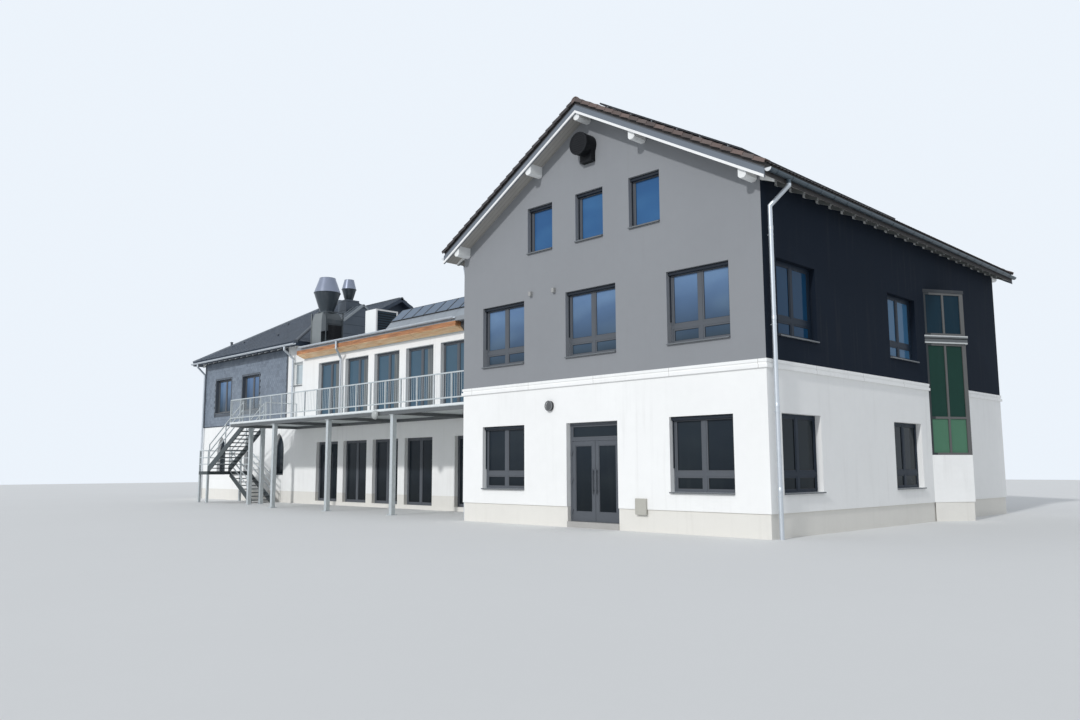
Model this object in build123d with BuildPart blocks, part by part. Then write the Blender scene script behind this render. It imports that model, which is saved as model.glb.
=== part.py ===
"""Railway station building: a gabled main block, a lower wing with a gallery, and a hipped end block.

Millimetres. X runs along the platform, Y away from it, Z up. The origin lies on the ground in the
middle of the main block. The platform side faces -Y, and the wing and the end block lie towards -X.
"""
from build123d import *
import os
from math import acos, atan2, cos, degrees, pi, radians, sin, tan

os.makedirs("parts", exist_ok=True)

# Storeys, from the ground
GROUND_FLOOR = 150
UPPER_FLOOR = 3510
ATTIC_FLOOR = 6850
FLOOR_THICK = 250
PLINTH_TOP = 530
PLINTH_SETBACK = 30
WALL = 420

# Main block
MAIN_WIDTH = 10200
MAIN_DEPTH = 14560
BAND_TOP = 3660
BAND_HEIGHT = 195
BAND_REACH = 50
BAND_RETURN = 80
BAND_FILLET = 78
BAND_FINE_FILLET = 68
BAND_FINE_REACH = 30
BAND_NECK_REACH = 12
EAVES_LIFT = 780
ROOF_PITCH = 29.5
ROOF_THICK = 260
EAVES_OVERHANG = 400
FRONT_VERGE = 450
REAR_VERGE = 700
BOARD_THICK = 40
BOARD_HEIGHT = 240
BOARD_DROP = 60
PURLIN_WIDTH = 200
PURLIN_HEIGHT = 240
PURLIN_CHAMFER = 50
PURLIN_PLACES = (1837, 4930)
RAFTER_WIDTH = 80
RAFTER_HEIGHT = 120
RAFTER_PITCH = 640
RAFTER_SETBACK = 40

# Windows and the door
WINDOW_WIDTH = 1750
WINDOW_HEIGHT = 1775
LOW_PANE = 330
LOWER_SILL = 925
UPPER_SILL = 4400
WINDOW_SPACING = 3350
SIDE_WINDOWS = (1430, 7130)
ATTIC_WIDTH = 970
ATTIC_HEIGHT = 1325
ATTIC_SILL = 7460
ATTIC_SPACING = 1840
RECESS = 150
FRAME = 65
MULLION = 90
FRAME_DEPTH = 70
GLASS = 24
SILL_THICK = 30
SILL_REACH = 60
DOOR_WIDTH = 1750
DOOR_HEAD = 2685
DOOR_TRANSOM = 2210
DOOR_STILE = 110
DOOR_BOTTOM_RAIL = 240
DOOR_THICK = 60
DOOR_GAP = 6
MEETING_GAP = 10
HINGE_REACH = 17
HINGE_RADIUS = 11
HINGE_LENGTH = 60
HINGE_PLAY = 0.3
HINGE_SIDES = 12
HINGE_FOOT = 250
HINGE_HEAD = 310
HINGE_PLATE = (5, 30)
HINGE_PLATE_THICK = 6
PULL_LENGTH = 620
PULL_RADIUS = 16
PULL_REACH = 55
PULL_FIXINGS = 480
PULL_POST = 20

# Stair bay on the right side, measured from the front face
BAY_START = 8670
BAY_END = 11000
BAY_REACH = 670
BAY_SILL = 1850
BAY_LEDGE = 5040
BAY_HEAD = 6525
BAY_FRAME_DEPTH = 80
BAY_TRANSOM = 2870
BAY_POST = 130
LEDGE_STEPS = ((0, 120, 60), (120, 150, 10), (150, 230, 75))
BAY_CAP = (90, 25)

# Rainwater goods
GUTTER_RADIUS = 75
GUTTER_THICK = 8
PIPE_RADIUS = 50
PIPE_SIDES = 12
GUTTER_SIDES = 16
PIPE_CORNER = 190
PIPE_STANDOFF = 115
MAIN_NECK = (130, 560)
MAIN_NECK_SHIFT = 215
WING_NECK = (300, 660)
WING_NECK_SHIFT = 250
END_NECK = (150, 520)
END_NECK_SHIFTS = (12, 153)
SEAT_GAP = 0.3

# Things on the main block's walls
DRUM_RADIUS = 300
DRUM_LENGTH = 385
DRUM_DROP = 1165
DRUM_BOX_X = (-150, 250)
DRUM_BOX_REACH = 160
DRUM_BOX_FOOT = 160
VENT_PLACE = (-1462, 3168)
VENT_RADIUS = 136
VENT_REACH = 25
FITTING_PLACES = ((-2174, 6319), (-1277, 6292))
FITTING_SIZE = (90, 90, 120)
METER_BOX_X = (1448, 1778)
METER_BOX_Z = (404, 787)
METER_BOX_REACH = 60

# Wing
WING_SETBACK = 3400
WING_DEPTH = 9200
WING_LENGTH = 15436
WING_ROOF = 6950
WING_ROOF_THICK = 300
WING_EAVES = 430
WING_REAR_EAVES = 420
FRENCH_WIDTH = 1745
FRENCH_HEAD = 6180
GROUND_GLAZING_HEAD = 2690
BAY_PITCH = 2185
FIRST_BAY = 2433
GROUND_BAY = 3740
PARAPET_START = 620
PARAPET_LENGTH = 7917
APRON_RUN = 286
APRON_RISE = 337
PANEL_RUN = 594
PANEL_RISE = 555
PARAPET_CROWN = 180
PANEL_COUNT = 11
PANEL_GAP = 15
PANEL_THICK = 40
SOLAR_PANEL = (1600, 990)
SOLAR_COLUMNS = 3
SOLAR_ROWS = 8
SOLAR_TOP = 550
SOLAR_SIDE = 320
TIMBER_START = 4106
TIMBER_FOOT = 500
TIMBER_EDGE = 330
DARK_EAVES = 172
WING_GUTTER_END = 400
WING_PIPE = 11990

# Gallery and its stair
GALLERY_SETBACK = 255
GALLERY_BEYOND = 629
DECK_THICK = 75
EDGE_BEAM = 197
EDGE_INSET = 30
BEAM_WIDTH = 100
RAIL_HEIGHT = 975
RAIL_THICK = 40
RAIL_BAY = 880
LOW_RAIL = 205
STAIR_RAIL_BAY = 1350
KNEE_RAILS = (350, 650)
POST_SIZE = 150
FIRST_POST = 4095
POST_PITCH = 4070
END_POSTS = (935, 1485)
STAIR_SETBACK = 595
FLIGHT_WIDTH = 1020
FLIGHT_GAP = 40
LANDING_HEIGHT = 1430
LANDING_DEPTH = 935
UPPER_RISERS = 13
LOWER_RISERS = 9
GOING = 283
TREAD_THICK = 40
STRINGER_THICK = 30
STRINGER_DEPTH = 240
STRINGER_LIP = 60
STRINGER_FOOT = 200
RAIL_MARGIN = 60
RAIL_JOINT = 5
LANDING_LEG = 100
LANDING_BEAM = 150

# End block
END_LENGTH = 10489
END_DEPTH = 11160
END_EAVES = 7277
END_OVERHANG = 510
END_RIGHT_OVERHANG = 51
END_PITCH = 31.17
END_ROOF_THICK = 200
ARCH_WIDTH = 950
ARCH_SILL = 1250
ARCH_SPRING = 2400
ARCH_RISE = 790
FIRST_ARCH = 2189
ARCH_PITCH = 3030
ARCH_STEPS = 8
END_SIDE_WINDOWS = (2780, 8380)
LINK_WINDOW_PLACE = 666
LINK_WINDOW_SILL = 5295
END_RIGHT_PIPE = 875
END_LEFT_PIPE = 232
CROSS_MIDDLE = 5015
CROSS_RIDGE = 9925
CROSS_PITCH = 30
CROSS_HALF = 2100
CROSS_EAVES = 300
CROSS_VERGE = 391
CROSS_WALL = 300
CROSS_ROOF_THICK = 160

# Roof equipment on the wing
DUCT_PLACE = 486
DUCT_SIZE = (1235, 850, 1180)
DUCT_NOTCH = (410, 430, 650)
COLLAR_RISE = 350
COLLAR_SIZE = 760
HOOD_SIDES = 24
HOOD_PLACE = 1039
HOOD_STAGES = ((425, 425, 25), (310, 310, 75), (310, 600, 840), (600, 350, 693))
HOUSE_PLACE = 56
HOUSE_SIZE = (1757, 2040, 1207)
HOUSE_RISE = 833
VENT_PLACE_X = 536
VENT_LIFT = 340
VENT_CURB = 700
VENT_STAGES = ((190, 190, 60), (190, 345, 480), (345, 215, 460))
AIR_HOOD_PLACE = (4196, 425)
AIR_HOOD_SIZE = (775, 1100, 1245)
AIR_HOOD_FOOT = 410
AIR_HOOD_BACK = 760

# Places worked out from these
half_width = MAIN_WIDTH / 2
front = -MAIN_DEPTH / 2
rear = MAIN_DEPTH / 2
slope = tan(radians(ROOF_PITCH))
roof_edge = half_width + EAVES_OVERHANG
roof_drop = ROOF_THICK / cos(radians(ROOF_PITCH))
bay_start = front + BAY_START
bay_end = front + BAY_END
bay_middle = (bay_start + bay_end) / 2
ledge_top = BAY_LEDGE + LEDGE_STEPS[-1][1]
roof_y = (front - FRONT_VERGE, rear + REAR_VERGE)
ridge_top = WING_ROOF + EAVES_LIFT + roof_drop + roof_edge * slope
drum_z = ridge_top - DRUM_DROP
door_side = DOOR_WIDTH / 2 - FRAME
wing_left_x = -half_width - WING_LENGTH
wing_front_y = front + WING_SETBACK
wing_rear_y = wing_front_y + WING_DEPTH
gallery_left_x = wing_left_x - GALLERY_BEYOND
gallery_front_y = front + GALLERY_SETBACK
stair_front_y = gallery_front_y + STAIR_SETBACK
end_left_x = wing_left_x - END_LENGTH
end_rear_y = wing_front_y + END_DEPTH

# Faces of the walls, each with its own X along the wall and Z outwards
main_front = Plane.XZ.offset(-front)
main_rear = Plane(origin=(0, rear, 0), x_dir=(-1, 0, 0), z_dir=(0, 1, 0))
main_right = Plane.YZ.offset(half_width)
wing_front = Plane.XZ.offset(-wing_front_y)
wing_rear = Plane(origin=(0, wing_rear_y, 0), x_dir=(-1, 0, 0), z_dir=(0, 1, 0))
end_rear = Plane(origin=(0, end_rear_y, 0), x_dir=(-1, 0, 0), z_dir=(0, 1, 0))
end_left = Plane(origin=(end_left_x, 0, 0), x_dir=(0, -1, 0), z_dir=(-1, 0, 0))

# Kinds of window: width, height, columns of panes, height of the low panes
STANDARD = (WINDOW_WIDTH, WINDOW_HEIGHT, 2, LOW_PANE)
ATTIC = (ATTIC_WIDTH, ATTIC_HEIGHT, 1, 0)
FRENCH = (FRENCH_WIDTH, FRENCH_HEAD - UPPER_FLOOR, 2, 0)
GROUND_GLAZING = (FRENCH_WIDTH, GROUND_GLAZING_HEAD - GROUND_FLOOR, 2, 0)
LINK = (935, 1100, 1, 0)
TWO_LIGHT = (WINDOW_WIDTH, WINDOW_HEIGHT, 2, 0)


def underside(x):
    """Height of the main roof's underside at a distance x from the ridge line."""
    return ridge_top - roof_drop - abs(x) * slope


def rect(x0, z0, x1, z1, mode=Mode.ADD):
    """A rectangle in the open sketch, from one corner to the other."""
    with Locations(((x0 + x1) / 2, (z0 + z1) / 2)):
        Rectangle(x1 - x0, z1 - z0, mode=mode)


def block(x, y, z, mode=Mode.ADD):
    """A block in the open part, from its limits along each axis."""
    with Locations(((x[0] + x[1]) / 2, (y[0] + y[1]) / 2, (z[0] + z[1]) / 2)):
        Box(x[1] - x[0], y[1] - y[0], z[1] - z[0], mode=mode)


def outline(*points, mode=Mode.ADD):
    """A closed polygon in the open sketch."""
    Polygon(*points, align=None, mode=mode)


def cut_windows(windows):
    """Cuts the windows out of the open sketch of a wall."""
    for (width, height, _, _), centre, sill in windows:
        rect(centre - width / 2, sill, centre + width / 2, sill + height, Mode.SUBTRACT)


def panes(kind, centre, sill):
    """Limits of a window's panes: equal columns, over a row of low panes where the kind has one."""
    width, height, columns, low = kind
    left = centre - width / 2 + FRAME
    pane = (width - 2 * FRAME - (columns - 1) * MULLION) / columns
    bottom, top = sill + FRAME, sill + height - FRAME
    rows = [(bottom, bottom + low), (bottom + low + MULLION, top)] if low else [(bottom, top)]
    for column in range(columns):
        x = left + column * (pane + MULLION)
        for z0, z1 in rows:
            yield x, z0, x + pane, z1


def add_frames(face, windows):
    """Window frames with their bars, set back from a wall's face."""
    with BuildSketch(face.offset(-RECESS)) as frames:
        for kind, centre, sill in windows:
            rect(centre - kind[0] / 2, sill, centre + kind[0] / 2, sill + kind[1])
            for pane in panes(kind, centre, sill):
                rect(*pane, Mode.SUBTRACT)
    extrude(frames.sketch, amount=-FRAME_DEPTH)


def add_glass(face, windows):
    """Panes in the middle of the frames' depth."""
    with BuildSketch(face.offset(-RECESS - (FRAME_DEPTH - GLASS) / 2)) as sheets:
        for kind, centre, sill in windows:
            for pane in panes(kind, centre, sill):
                rect(*pane)
    extrude(sheets.sketch, amount=-GLASS)


def add_sills(face, windows):
    """Metal sills from the frames out over a wall's face."""
    with BuildSketch(face.offset(SILL_REACH)) as sheets:
        for (width, _, _, _), centre, sill in windows:
            rect(centre - width / 2, sill, centre + width / 2, sill + SILL_THICK)
    extrude(sheets.sketch, amount=-SILL_REACH - RECESS)


def main_plinth():
    """Sets the main block's walls back below the top of the plinth."""
    z = (0, PLINTH_TOP)
    for side in (-1, 1):
        x = sorted((side * half_width, side * (half_width - PLINTH_SETBACK)))
        y = sorted((side * rear, side * (rear - PLINTH_SETBACK)))
        block(x, (front, rear), z, Mode.SUBTRACT)
        block((-half_width, half_width), y, z, Mode.SUBTRACT)


def save(part, name):
    """Labels a finished piece and writes it."""
    part.part.label = name
    export_step(part.part, f"parts/{name}.step")


# Windows of each face: kind, centre along the face, sill height
front_lower = [(STANDARD, side * WINDOW_SPACING, LOWER_SILL) for side in (-1, 1)]
gable_upper = [(STANDARD, n * WINDOW_SPACING, UPPER_SILL) for n in (-1, 0, 1)]
attic_windows = [(ATTIC, n * ATTIC_SPACING, ATTIC_SILL) for n in (-1, 0, 1)]
gable_upper += attic_windows
rear_places = [n * WINDOW_SPACING for n in (-1, 0, 1)]
rear_windows = [(TWO_LIGHT, x, sill) for x in rear_places for sill in (LOWER_SILL, UPPER_SILL)]
rear_windows += attic_windows
side_windows = [(STANDARD, front + y, sill) for y in SIDE_WINDOWS for sill in (LOWER_SILL, UPPER_SILL)]
bay_count = int((WING_LENGTH - FIRST_BAY - FRENCH_WIDTH / 2) / BAY_PITCH) + 1
wing_bays = [-half_width - FIRST_BAY - BAY_PITCH * n for n in range(bay_count)]
wing_windows = [(FRENCH, x, UPPER_FLOOR) for x in wing_bays]
wing_windows += [(GROUND_GLAZING, x, GROUND_FLOOR) for x in (-half_width - GROUND_BAY, *wing_bays[2:])]
wing_rear_windows = [(TWO_LIGHT, -x, sill) for x in wing_bays for sill in (LOWER_SILL, UPPER_SILL)]
arch_places = [wing_left_x - FIRST_ARCH - ARCH_PITCH * n for n in range(3)]
end_upper_windows = [(TWO_LIGHT, x, UPPER_SILL) for x in arch_places[1:]]
end_upper_windows.append((LINK, wing_left_x - LINK_WINDOW_PLACE, LINK_WINDOW_SILL))
end_rear_windows = [(TWO_LIGHT, -x, sill) for x in arch_places for sill in (LOWER_SILL, UPPER_SILL)]
end_side_places = [-wing_front_y - y for y in END_SIDE_WINDOWS]
end_side_windows = [(TWO_LIGHT, y, sill) for y in end_side_places for sill in (LOWER_SILL, UPPER_SILL)]


# Front wall of the main block, split beside and over the doorway
def front_pier(side):
    with BuildPart() as pier:
        with BuildSketch(main_front):
            x = sorted((side * DOOR_WIDTH / 2, side * half_width))
            rect(x[0], 0, x[1], BAND_TOP)
            cut_windows([window for window in front_lower if window[1] * side > 0])
        extrude(amount=-WALL)
        main_plinth()
    return pier


save(front_pier(-1), "main_front_wall_left")
save(front_pier(1), "main_front_wall_right")

with BuildPart() as lintel:
    with BuildSketch(main_front):
        rect(-DOOR_WIDTH / 2, DOOR_HEAD, DOOR_WIDTH / 2, BAND_TOP)
    extrude(amount=-WALL)
save(lintel, "main_door_lintel")

gable_outline = [
    (-half_width, BAND_TOP),
    (half_width, BAND_TOP),
    (half_width, underside(half_width)),
    (0, underside(0)),
    (-half_width, underside(half_width)),
]

with BuildPart() as front_gable:
    with BuildSketch(main_front):
        outline(*gable_outline)
        cut_windows(gable_upper)
    extrude(amount=-WALL)
save(front_gable, "main_front_gable")

with BuildPart() as rear_wall:
    with BuildSketch(main_rear):
        outline((-half_width, 0), (half_width, 0), *gable_outline[2:])
        cut_windows(rear_windows)
    extrude(amount=-WALL)
    main_plinth()
save(rear_wall, "main_rear_wall")


# Side walls, between the gable walls, with tops that follow the roof
def side_wall(side):
    inner = half_width - WALL
    with BuildPart() as wall:
        with BuildSketch(Plane.XZ.offset(rear - WALL)):
            outline(
                (side * half_width, 0),
                (side * half_width, underside(half_width)),
                (side * inner, underside(inner)),
                (side * inner, 0),
            )
        extrude(amount=-(MAIN_DEPTH - 2 * WALL))
        if side > 0:
            with BuildSketch(main_right):
                for (width, height, _, _), centre, sill in side_windows:
                    rect(centre - width / 2, sill, centre + width / 2, sill + height)
                rect(bay_start, BAY_SILL, bay_end, BAY_HEAD)
            extrude(amount=-WALL, mode=Mode.SUBTRACT)
        main_plinth()
    return wall


save(side_wall(1), "main_right_wall")
save(side_wall(-1), "main_left_wall")

# Floors of the main block, the ground floor with the doorstep
with BuildPart() as main_floors:
    inside_x = (-half_width + WALL, half_width - WALL)
    inside_y = (front + WALL, rear - WALL)
    block(inside_x, inside_y, (0, GROUND_FLOOR))
    block((-DOOR_WIDTH / 2, DOOR_WIDTH / 2), (front, front + WALL), (0, GROUND_FLOOR))
    for top in (UPPER_FLOOR, ATTIC_FLOOR):
        block(inside_x, inside_y, (top - FLOOR_THICK, top))
save(main_floors, "main_floors")


# Moulded band round the main block: a bold upper fillet over a fine one
def band(points, start):
    with BuildPart() as ring:
        with BuildLine() as path:
            Polyline(*points)
        with BuildSketch(start):
            outline(
                (0, -BAND_HEIGHT),
                (BAND_FINE_REACH, -BAND_HEIGHT),
                (BAND_FINE_REACH, -BAND_HEIGHT + BAND_FINE_FILLET),
                (BAND_NECK_REACH, -BAND_HEIGHT + BAND_FINE_FILLET),
                (BAND_NECK_REACH, -BAND_FILLET),
                (BAND_REACH, -BAND_FILLET),
                (BAND_REACH, 0),
                (0, 0),
            )
        sweep(path=path.line, transition=Transition.RIGHT)
    return ring.part


left_x = -half_width
band_front = band(
    [(left_x, front + BAND_RETURN, BAND_TOP), (left_x, front, BAND_TOP), (half_width, front, BAND_TOP),
     (half_width, bay_start, BAND_TOP)],
    Plane(origin=(left_x, front + BAND_RETURN, BAND_TOP), x_dir=(-1, 0, 0), z_dir=(0, -1, 0)),
)
band_rear = band(
    [(half_width, bay_end, BAND_TOP), (half_width, rear, BAND_TOP), (left_x, rear, BAND_TOP),
     (left_x, wing_rear_y, BAND_TOP)],
    Plane(origin=(half_width, bay_end, BAND_TOP), x_dir=(1, 0, 0), z_dir=(0, 1, 0)),
)
with BuildPart() as string_course:
    add(band_front)
    add(band_rear)
save(string_course, "main_string_course")


# Roof of the main block: two slabs of rafters, boarding and tiles
def roof_slope(side):
    with BuildPart() as slab:
        with BuildSketch(Plane.XZ.offset(-roof_y[0])):
            outline(
                (0, underside(0)),
                (side * roof_edge, underside(roof_edge)),
                (side * roof_edge, underside(roof_edge) + roof_drop),
                (0, ridge_top),
            )
        extrude(amount=roof_y[0] - roof_y[1])
    return slab


save(roof_slope(-1), "main_roof_left")
save(roof_slope(1), "main_roof_right")

# Bargeboards along both verges
with BuildPart() as bargeboards:
    for y in (roof_y[0], roof_y[1] + BOARD_THICK):
        with BuildSketch(Plane.XZ.offset(-y)):
            low = -BOARD_DROP
            high = BOARD_HEIGHT - BOARD_DROP
            outline(
                (-roof_edge, underside(roof_edge) + low),
                (0, underside(0) + low),
                (roof_edge, underside(roof_edge) + low),
                (roof_edge, underside(roof_edge) + high),
                (0, underside(0) + high),
                (-roof_edge, underside(roof_edge) + high),
            )
        extrude(amount=BOARD_THICK)
save(bargeboards, "main_bargeboards")


# Purlin ends under both verges, and rafter ends under the eaves
def purlin_profile(x):
    a, b = x - PURLIN_WIDTH / 2, x + PURLIN_WIDTH / 2
    low = underside(x) - PURLIN_HEIGHT
    crown = [(0, underside(0))] if x == 0 else []
    outline(
        (a, low + PURLIN_CHAMFER),
        (a + PURLIN_CHAMFER, low),
        (b - PURLIN_CHAMFER, low),
        (b, low + PURLIN_CHAMFER),
        (b, underside(b)),
        *crown,
        (a, underside(a)),
    )


def rafter_planes(plane, start, end):
    """Planes for the rafters' near sides, evenly spaced between two places along a wall."""
    sign = 1 if plane.z_dir.X + plane.z_dir.Y > 0 else -1
    count = round((end - start) / RAFTER_PITCH)
    step = (end - start - RAFTER_WIDTH) / count
    return [plane.offset(sign * (start + n * step)) for n in range(count + 1)]


def rafter_profile(wall, direction, top, fall, overhang):
    """A rafter end from a wall's face outwards, tapered to its tip."""
    reach = overhang - RAFTER_SETBACK
    tip = wall + direction * reach
    outline(
        (wall, top),
        (tip, top - reach * fall),
        (tip, top - reach * fall - RAFTER_HEIGHT / 2),
        (wall, top - RAFTER_HEIGHT),
    )


with BuildPart() as roof_timbers:
    for y, reach in ((front, FRONT_VERGE), (rear, -REAR_VERGE)):
        with BuildSketch(Plane.XZ.offset(-y)):
            for x in (0, *PURLIN_PLACES, *(-place for place in PURLIN_PLACES)):
                purlin_profile(x)
        extrude(amount=reach)
    for side in (-1, 1):
        with BuildSketch(*rafter_planes(Plane.XZ, front, rear)):
            rafter_profile(side * half_width, side, underside(half_width), slope, EAVES_OVERHANG)
        extrude(amount=-RAFTER_WIDTH)
save(roof_timbers, "main_roof_timbers")

# Window frames, panes and sills of the main block
with BuildPart() as main_frames:
    add_frames(main_front, front_lower + gable_upper)
    add_frames(main_rear, rear_windows)
    add_frames(main_right, side_windows)
save(main_frames, "main_window_frames")

with BuildPart() as main_glass:
    add_glass(main_front, front_lower + gable_upper)
    add_glass(main_rear, rear_windows)
    add_glass(main_right, side_windows)
    with BuildSketch(main_front.offset(-RECESS - (FRAME_DEPTH - GLASS) / 2)):
        rect(-door_side, DOOR_TRANSOM + FRAME, door_side, DOOR_HEAD - FRAME)
    extrude(amount=-GLASS)
save(main_glass, "main_window_glass")


# Metal sills under every window
with BuildPart() as sills:
    add_sills(main_front, front_lower + gable_upper)
    add_sills(main_rear, rear_windows)
    add_sills(main_right, side_windows)
    add_sills(wing_rear, wing_rear_windows)
    add_sills(end_rear, end_rear_windows)
    add_sills(end_left, end_side_windows)
    add_sills(wing_front, end_upper_windows)
save(sills, "window_sills")

# Front door: a fixed frame with a top light, and two glazed leaves on knuckle hinges
hinge_heights = [GROUND_FLOOR + HINGE_FOOT, (GROUND_FLOOR + DOOR_TRANSOM) / 2, DOOR_TRANSOM - HINGE_HEAD]
frame_face = front + RECESS
pin_x = door_side - DOOR_GAP / 2
pin_y = frame_face - HINGE_REACH


def upright(x, y, foot, length, radius):
    """An upright rod in the open part, drawn with flat sides."""
    with BuildSketch(Plane.XY.offset(foot)) as section:
        with Locations((x, y)):
            RegularPolygon(radius, HINGE_SIDES)
    extrude(section.sketch, amount=length)


def hinge_plate(side, direction, foot):
    """A knuckle with its plate, on the frame's side of the pin or on the leaf's."""
    upright(side * pin_x, pin_y, foot, HINGE_LENGTH, HINGE_RADIUS)
    plate_x = sorted(side * (pin_x + direction * reach) for reach in HINGE_PLATE)
    block(plate_x, (pin_y - HINGE_PLATE_THICK, frame_face), (foot, foot + HINGE_LENGTH))


with BuildPart() as door_frame:
    with BuildSketch(main_front.offset(-RECESS)):
        rect(-DOOR_WIDTH / 2, GROUND_FLOOR, DOOR_WIDTH / 2, DOOR_HEAD)
        rect(-door_side, GROUND_FLOOR, door_side, DOOR_TRANSOM, Mode.SUBTRACT)
        rect(-door_side, DOOR_TRANSOM + FRAME, door_side, DOOR_HEAD - FRAME, Mode.SUBTRACT)
    extrude(amount=-FRAME_DEPTH)
    for side in (-1, 1):
        for z in hinge_heights:
            hinge_plate(side, 1, z - HINGE_LENGTH - HINGE_PLAY)
save(door_frame, "main_door_frame")

leaf_low = GROUND_FLOOR + DOOR_GAP
leaf_high = DOOR_TRANSOM - DOOR_GAP


def leaf_pane(side):
    """Limits of a leaf's pane across the face and up it."""
    x = sorted((side * (MEETING_GAP / 2 + DOOR_STILE), side * (door_side - DOOR_GAP - DOOR_STILE)))
    return x[0], leaf_low + DOOR_BOTTOM_RAIL, x[1], leaf_high - DOOR_STILE


def door_leaf(side):
    with BuildPart() as leaf:
        with BuildSketch(main_front.offset(-RECESS)):
            x = sorted((side * MEETING_GAP / 2, side * (door_side - DOOR_GAP)))
            rect(x[0], leaf_low, x[1], leaf_high)
            rect(*leaf_pane(side), Mode.SUBTRACT)
        extrude(amount=-DOOR_THICK)
        for z in hinge_heights:
            hinge_plate(side, -1, z)
        bar_x = side * (MEETING_GAP / 2 + DOOR_STILE / 2)
        bar_y = frame_face - PULL_REACH
        bar_z = (leaf_low + leaf_high) / 2
        upright(bar_x, bar_y, bar_z - PULL_LENGTH / 2, PULL_LENGTH, PULL_RADIUS)
        post = PULL_POST / 2
        for z in (bar_z - PULL_FIXINGS / 2, bar_z + PULL_FIXINGS / 2):
            block((bar_x - post, bar_x + post), (bar_y, frame_face), (z - post, z + post))
    return leaf


def leaf_glass(side):
    with BuildPart() as glass:
        with BuildSketch(main_front.offset(-RECESS - (DOOR_THICK - GLASS) / 2)):
            rect(*leaf_pane(side))
        extrude(amount=-GLASS)
    return glass


for side, word in ((-1, "left"), (1, "right")):
    save(door_leaf(side), f"door_leaf_{word}")
    save(leaf_glass(side), f"door_glass_{word}")

# Stair bay: a prow of two glazed faces over a solid foot, with a ledge between the storeys
def prow_slab(low, high, reach):
    """A slab in the prow's plan, grown outwards by reach."""
    with BuildSketch(Plane.XY.offset(low)) as plan:
        outline(
            (half_width, bay_start - reach),
            (half_width + BAY_REACH + reach, bay_middle),
            (half_width, bay_end + reach),
        )
    extrude(plan.sketch, amount=high - low)


with BuildPart() as bay_shell:
    prow_slab(0, PLINTH_TOP, -PLINTH_SETBACK)
    prow_slab(PLINTH_TOP, BAY_SILL, 0)
    for low, high, reach in LEDGE_STEPS:
        prow_slab(BAY_LEDGE + low, BAY_LEDGE + high, reach)
    prow_slab(BAY_HEAD, BAY_HEAD + BAY_CAP[0], BAY_CAP[1])
save(bay_shell, "stair_bay_shell")

facet = Vector(BAY_REACH, bay_middle - bay_start, 0)
facet_out = Vector(bay_middle - bay_start, -BAY_REACH, 0)
bay_faces = [
    Plane(origin=(half_width, bay_start, 0), x_dir=facet, z_dir=facet_out),
    Plane(
        origin=(half_width + BAY_REACH, bay_middle, 0),
        x_dir=(-facet.X, facet.Y, 0),
        z_dir=(facet.Y, facet.X, 0),
    ),
]


def bay_panes(face):
    """Limits of the bay's panes on one face of the prow, clear of the post at its tip."""
    start, end = (FRAME, facet.length - BAY_POST) if face == 0 else (BAY_POST, facet.length - FRAME)
    middle = (start + end) / 2
    columns = [(start, middle - FRAME / 2), (middle + FRAME / 2, end)]
    rows = [
        (BAY_SILL + FRAME, BAY_TRANSOM),
        (BAY_TRANSOM + FRAME, BAY_LEDGE - FRAME),
        (ledge_top + FRAME, BAY_HEAD - FRAME),
    ]
    return [(x0, z0, x1, z1) for x0, x1 in columns for z0, z1 in rows]


with BuildPart() as bay_frame:
    for n, face in enumerate(bay_faces):
        with BuildSketch(face):
            rect(0, BAY_SILL, facet.length, BAY_LEDGE)
            rect(0, ledge_top, facet.length, BAY_HEAD)
            for pane in bay_panes(n):
                rect(*pane, Mode.SUBTRACT)
        extrude(amount=-BAY_FRAME_DEPTH)
    block((0, half_width), (front, rear), (0, ridge_top), Mode.SUBTRACT)
save(bay_frame, "stair_bay_frame")

with BuildPart() as bay_glass:
    for n, face in enumerate(bay_faces):
        with BuildSketch(face.offset(-(BAY_FRAME_DEPTH - GLASS) / 2)):
            for pane in bay_panes(n):
                rect(*pane)
        extrude(amount=-GLASS)
save(bay_glass, "stair_bay_glass")

# Round black drum under the front ridge, on its wall box
with BuildPart() as drum:
    with BuildSketch(main_front):
        with Locations((0, drum_z)):
            Circle(DRUM_RADIUS)
    extrude(amount=DRUM_LENGTH)
    block(DRUM_BOX_X, (front - DRUM_BOX_REACH, front), (drum_z - DRUM_RADIUS - DRUM_BOX_FOOT, drum_z))
save(drum, "wall_drum")

# Small fittings on the platform front: a round vent, two lamp bases and a meter box
with BuildPart() as fittings:
    with BuildSketch(main_front):
        with Locations(VENT_PLACE):
            RegularPolygon(VENT_RADIUS, HOOD_SIDES)
    extrude(amount=VENT_REACH)
    width, reach, height = FITTING_SIZE
    for x, z in FITTING_PLACES:
        block((x - width / 2, x + width / 2), (front - reach, front), (z - height / 2, z + height / 2))
    block(METER_BOX_X, (front - METER_BOX_REACH, front), METER_BOX_Z)
save(fittings, "wall_fittings")

# Rainwater goods of the main block: half-round gutters and swan-necked pipes
def gutter_profile():
    """A half round, open at the top."""
    RegularPolygon(GUTTER_RADIUS, GUTTER_SIDES)
    RegularPolygon(GUTTER_RADIUS - GUTTER_THICK, GUTTER_SIDES, mode=Mode.SUBTRACT)
    with Locations((0, GUTTER_RADIUS)):
        Rectangle(2 * GUTTER_RADIUS, 2 * GUTTER_RADIUS, mode=Mode.SUBTRACT)


def pipe(*points):
    """A downpipe along straight runs, mitred at its bends."""
    with BuildLine() as path:
        Polyline(*points)
    with BuildSketch(Plane(origin=path.line @ 0, z_dir=path.line % 0)) as section:
        RegularPolygon(PIPE_RADIUS, PIPE_SIDES)
    sweep(section.sketch, path=path.line, transition=Transition.RIGHT)


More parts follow.
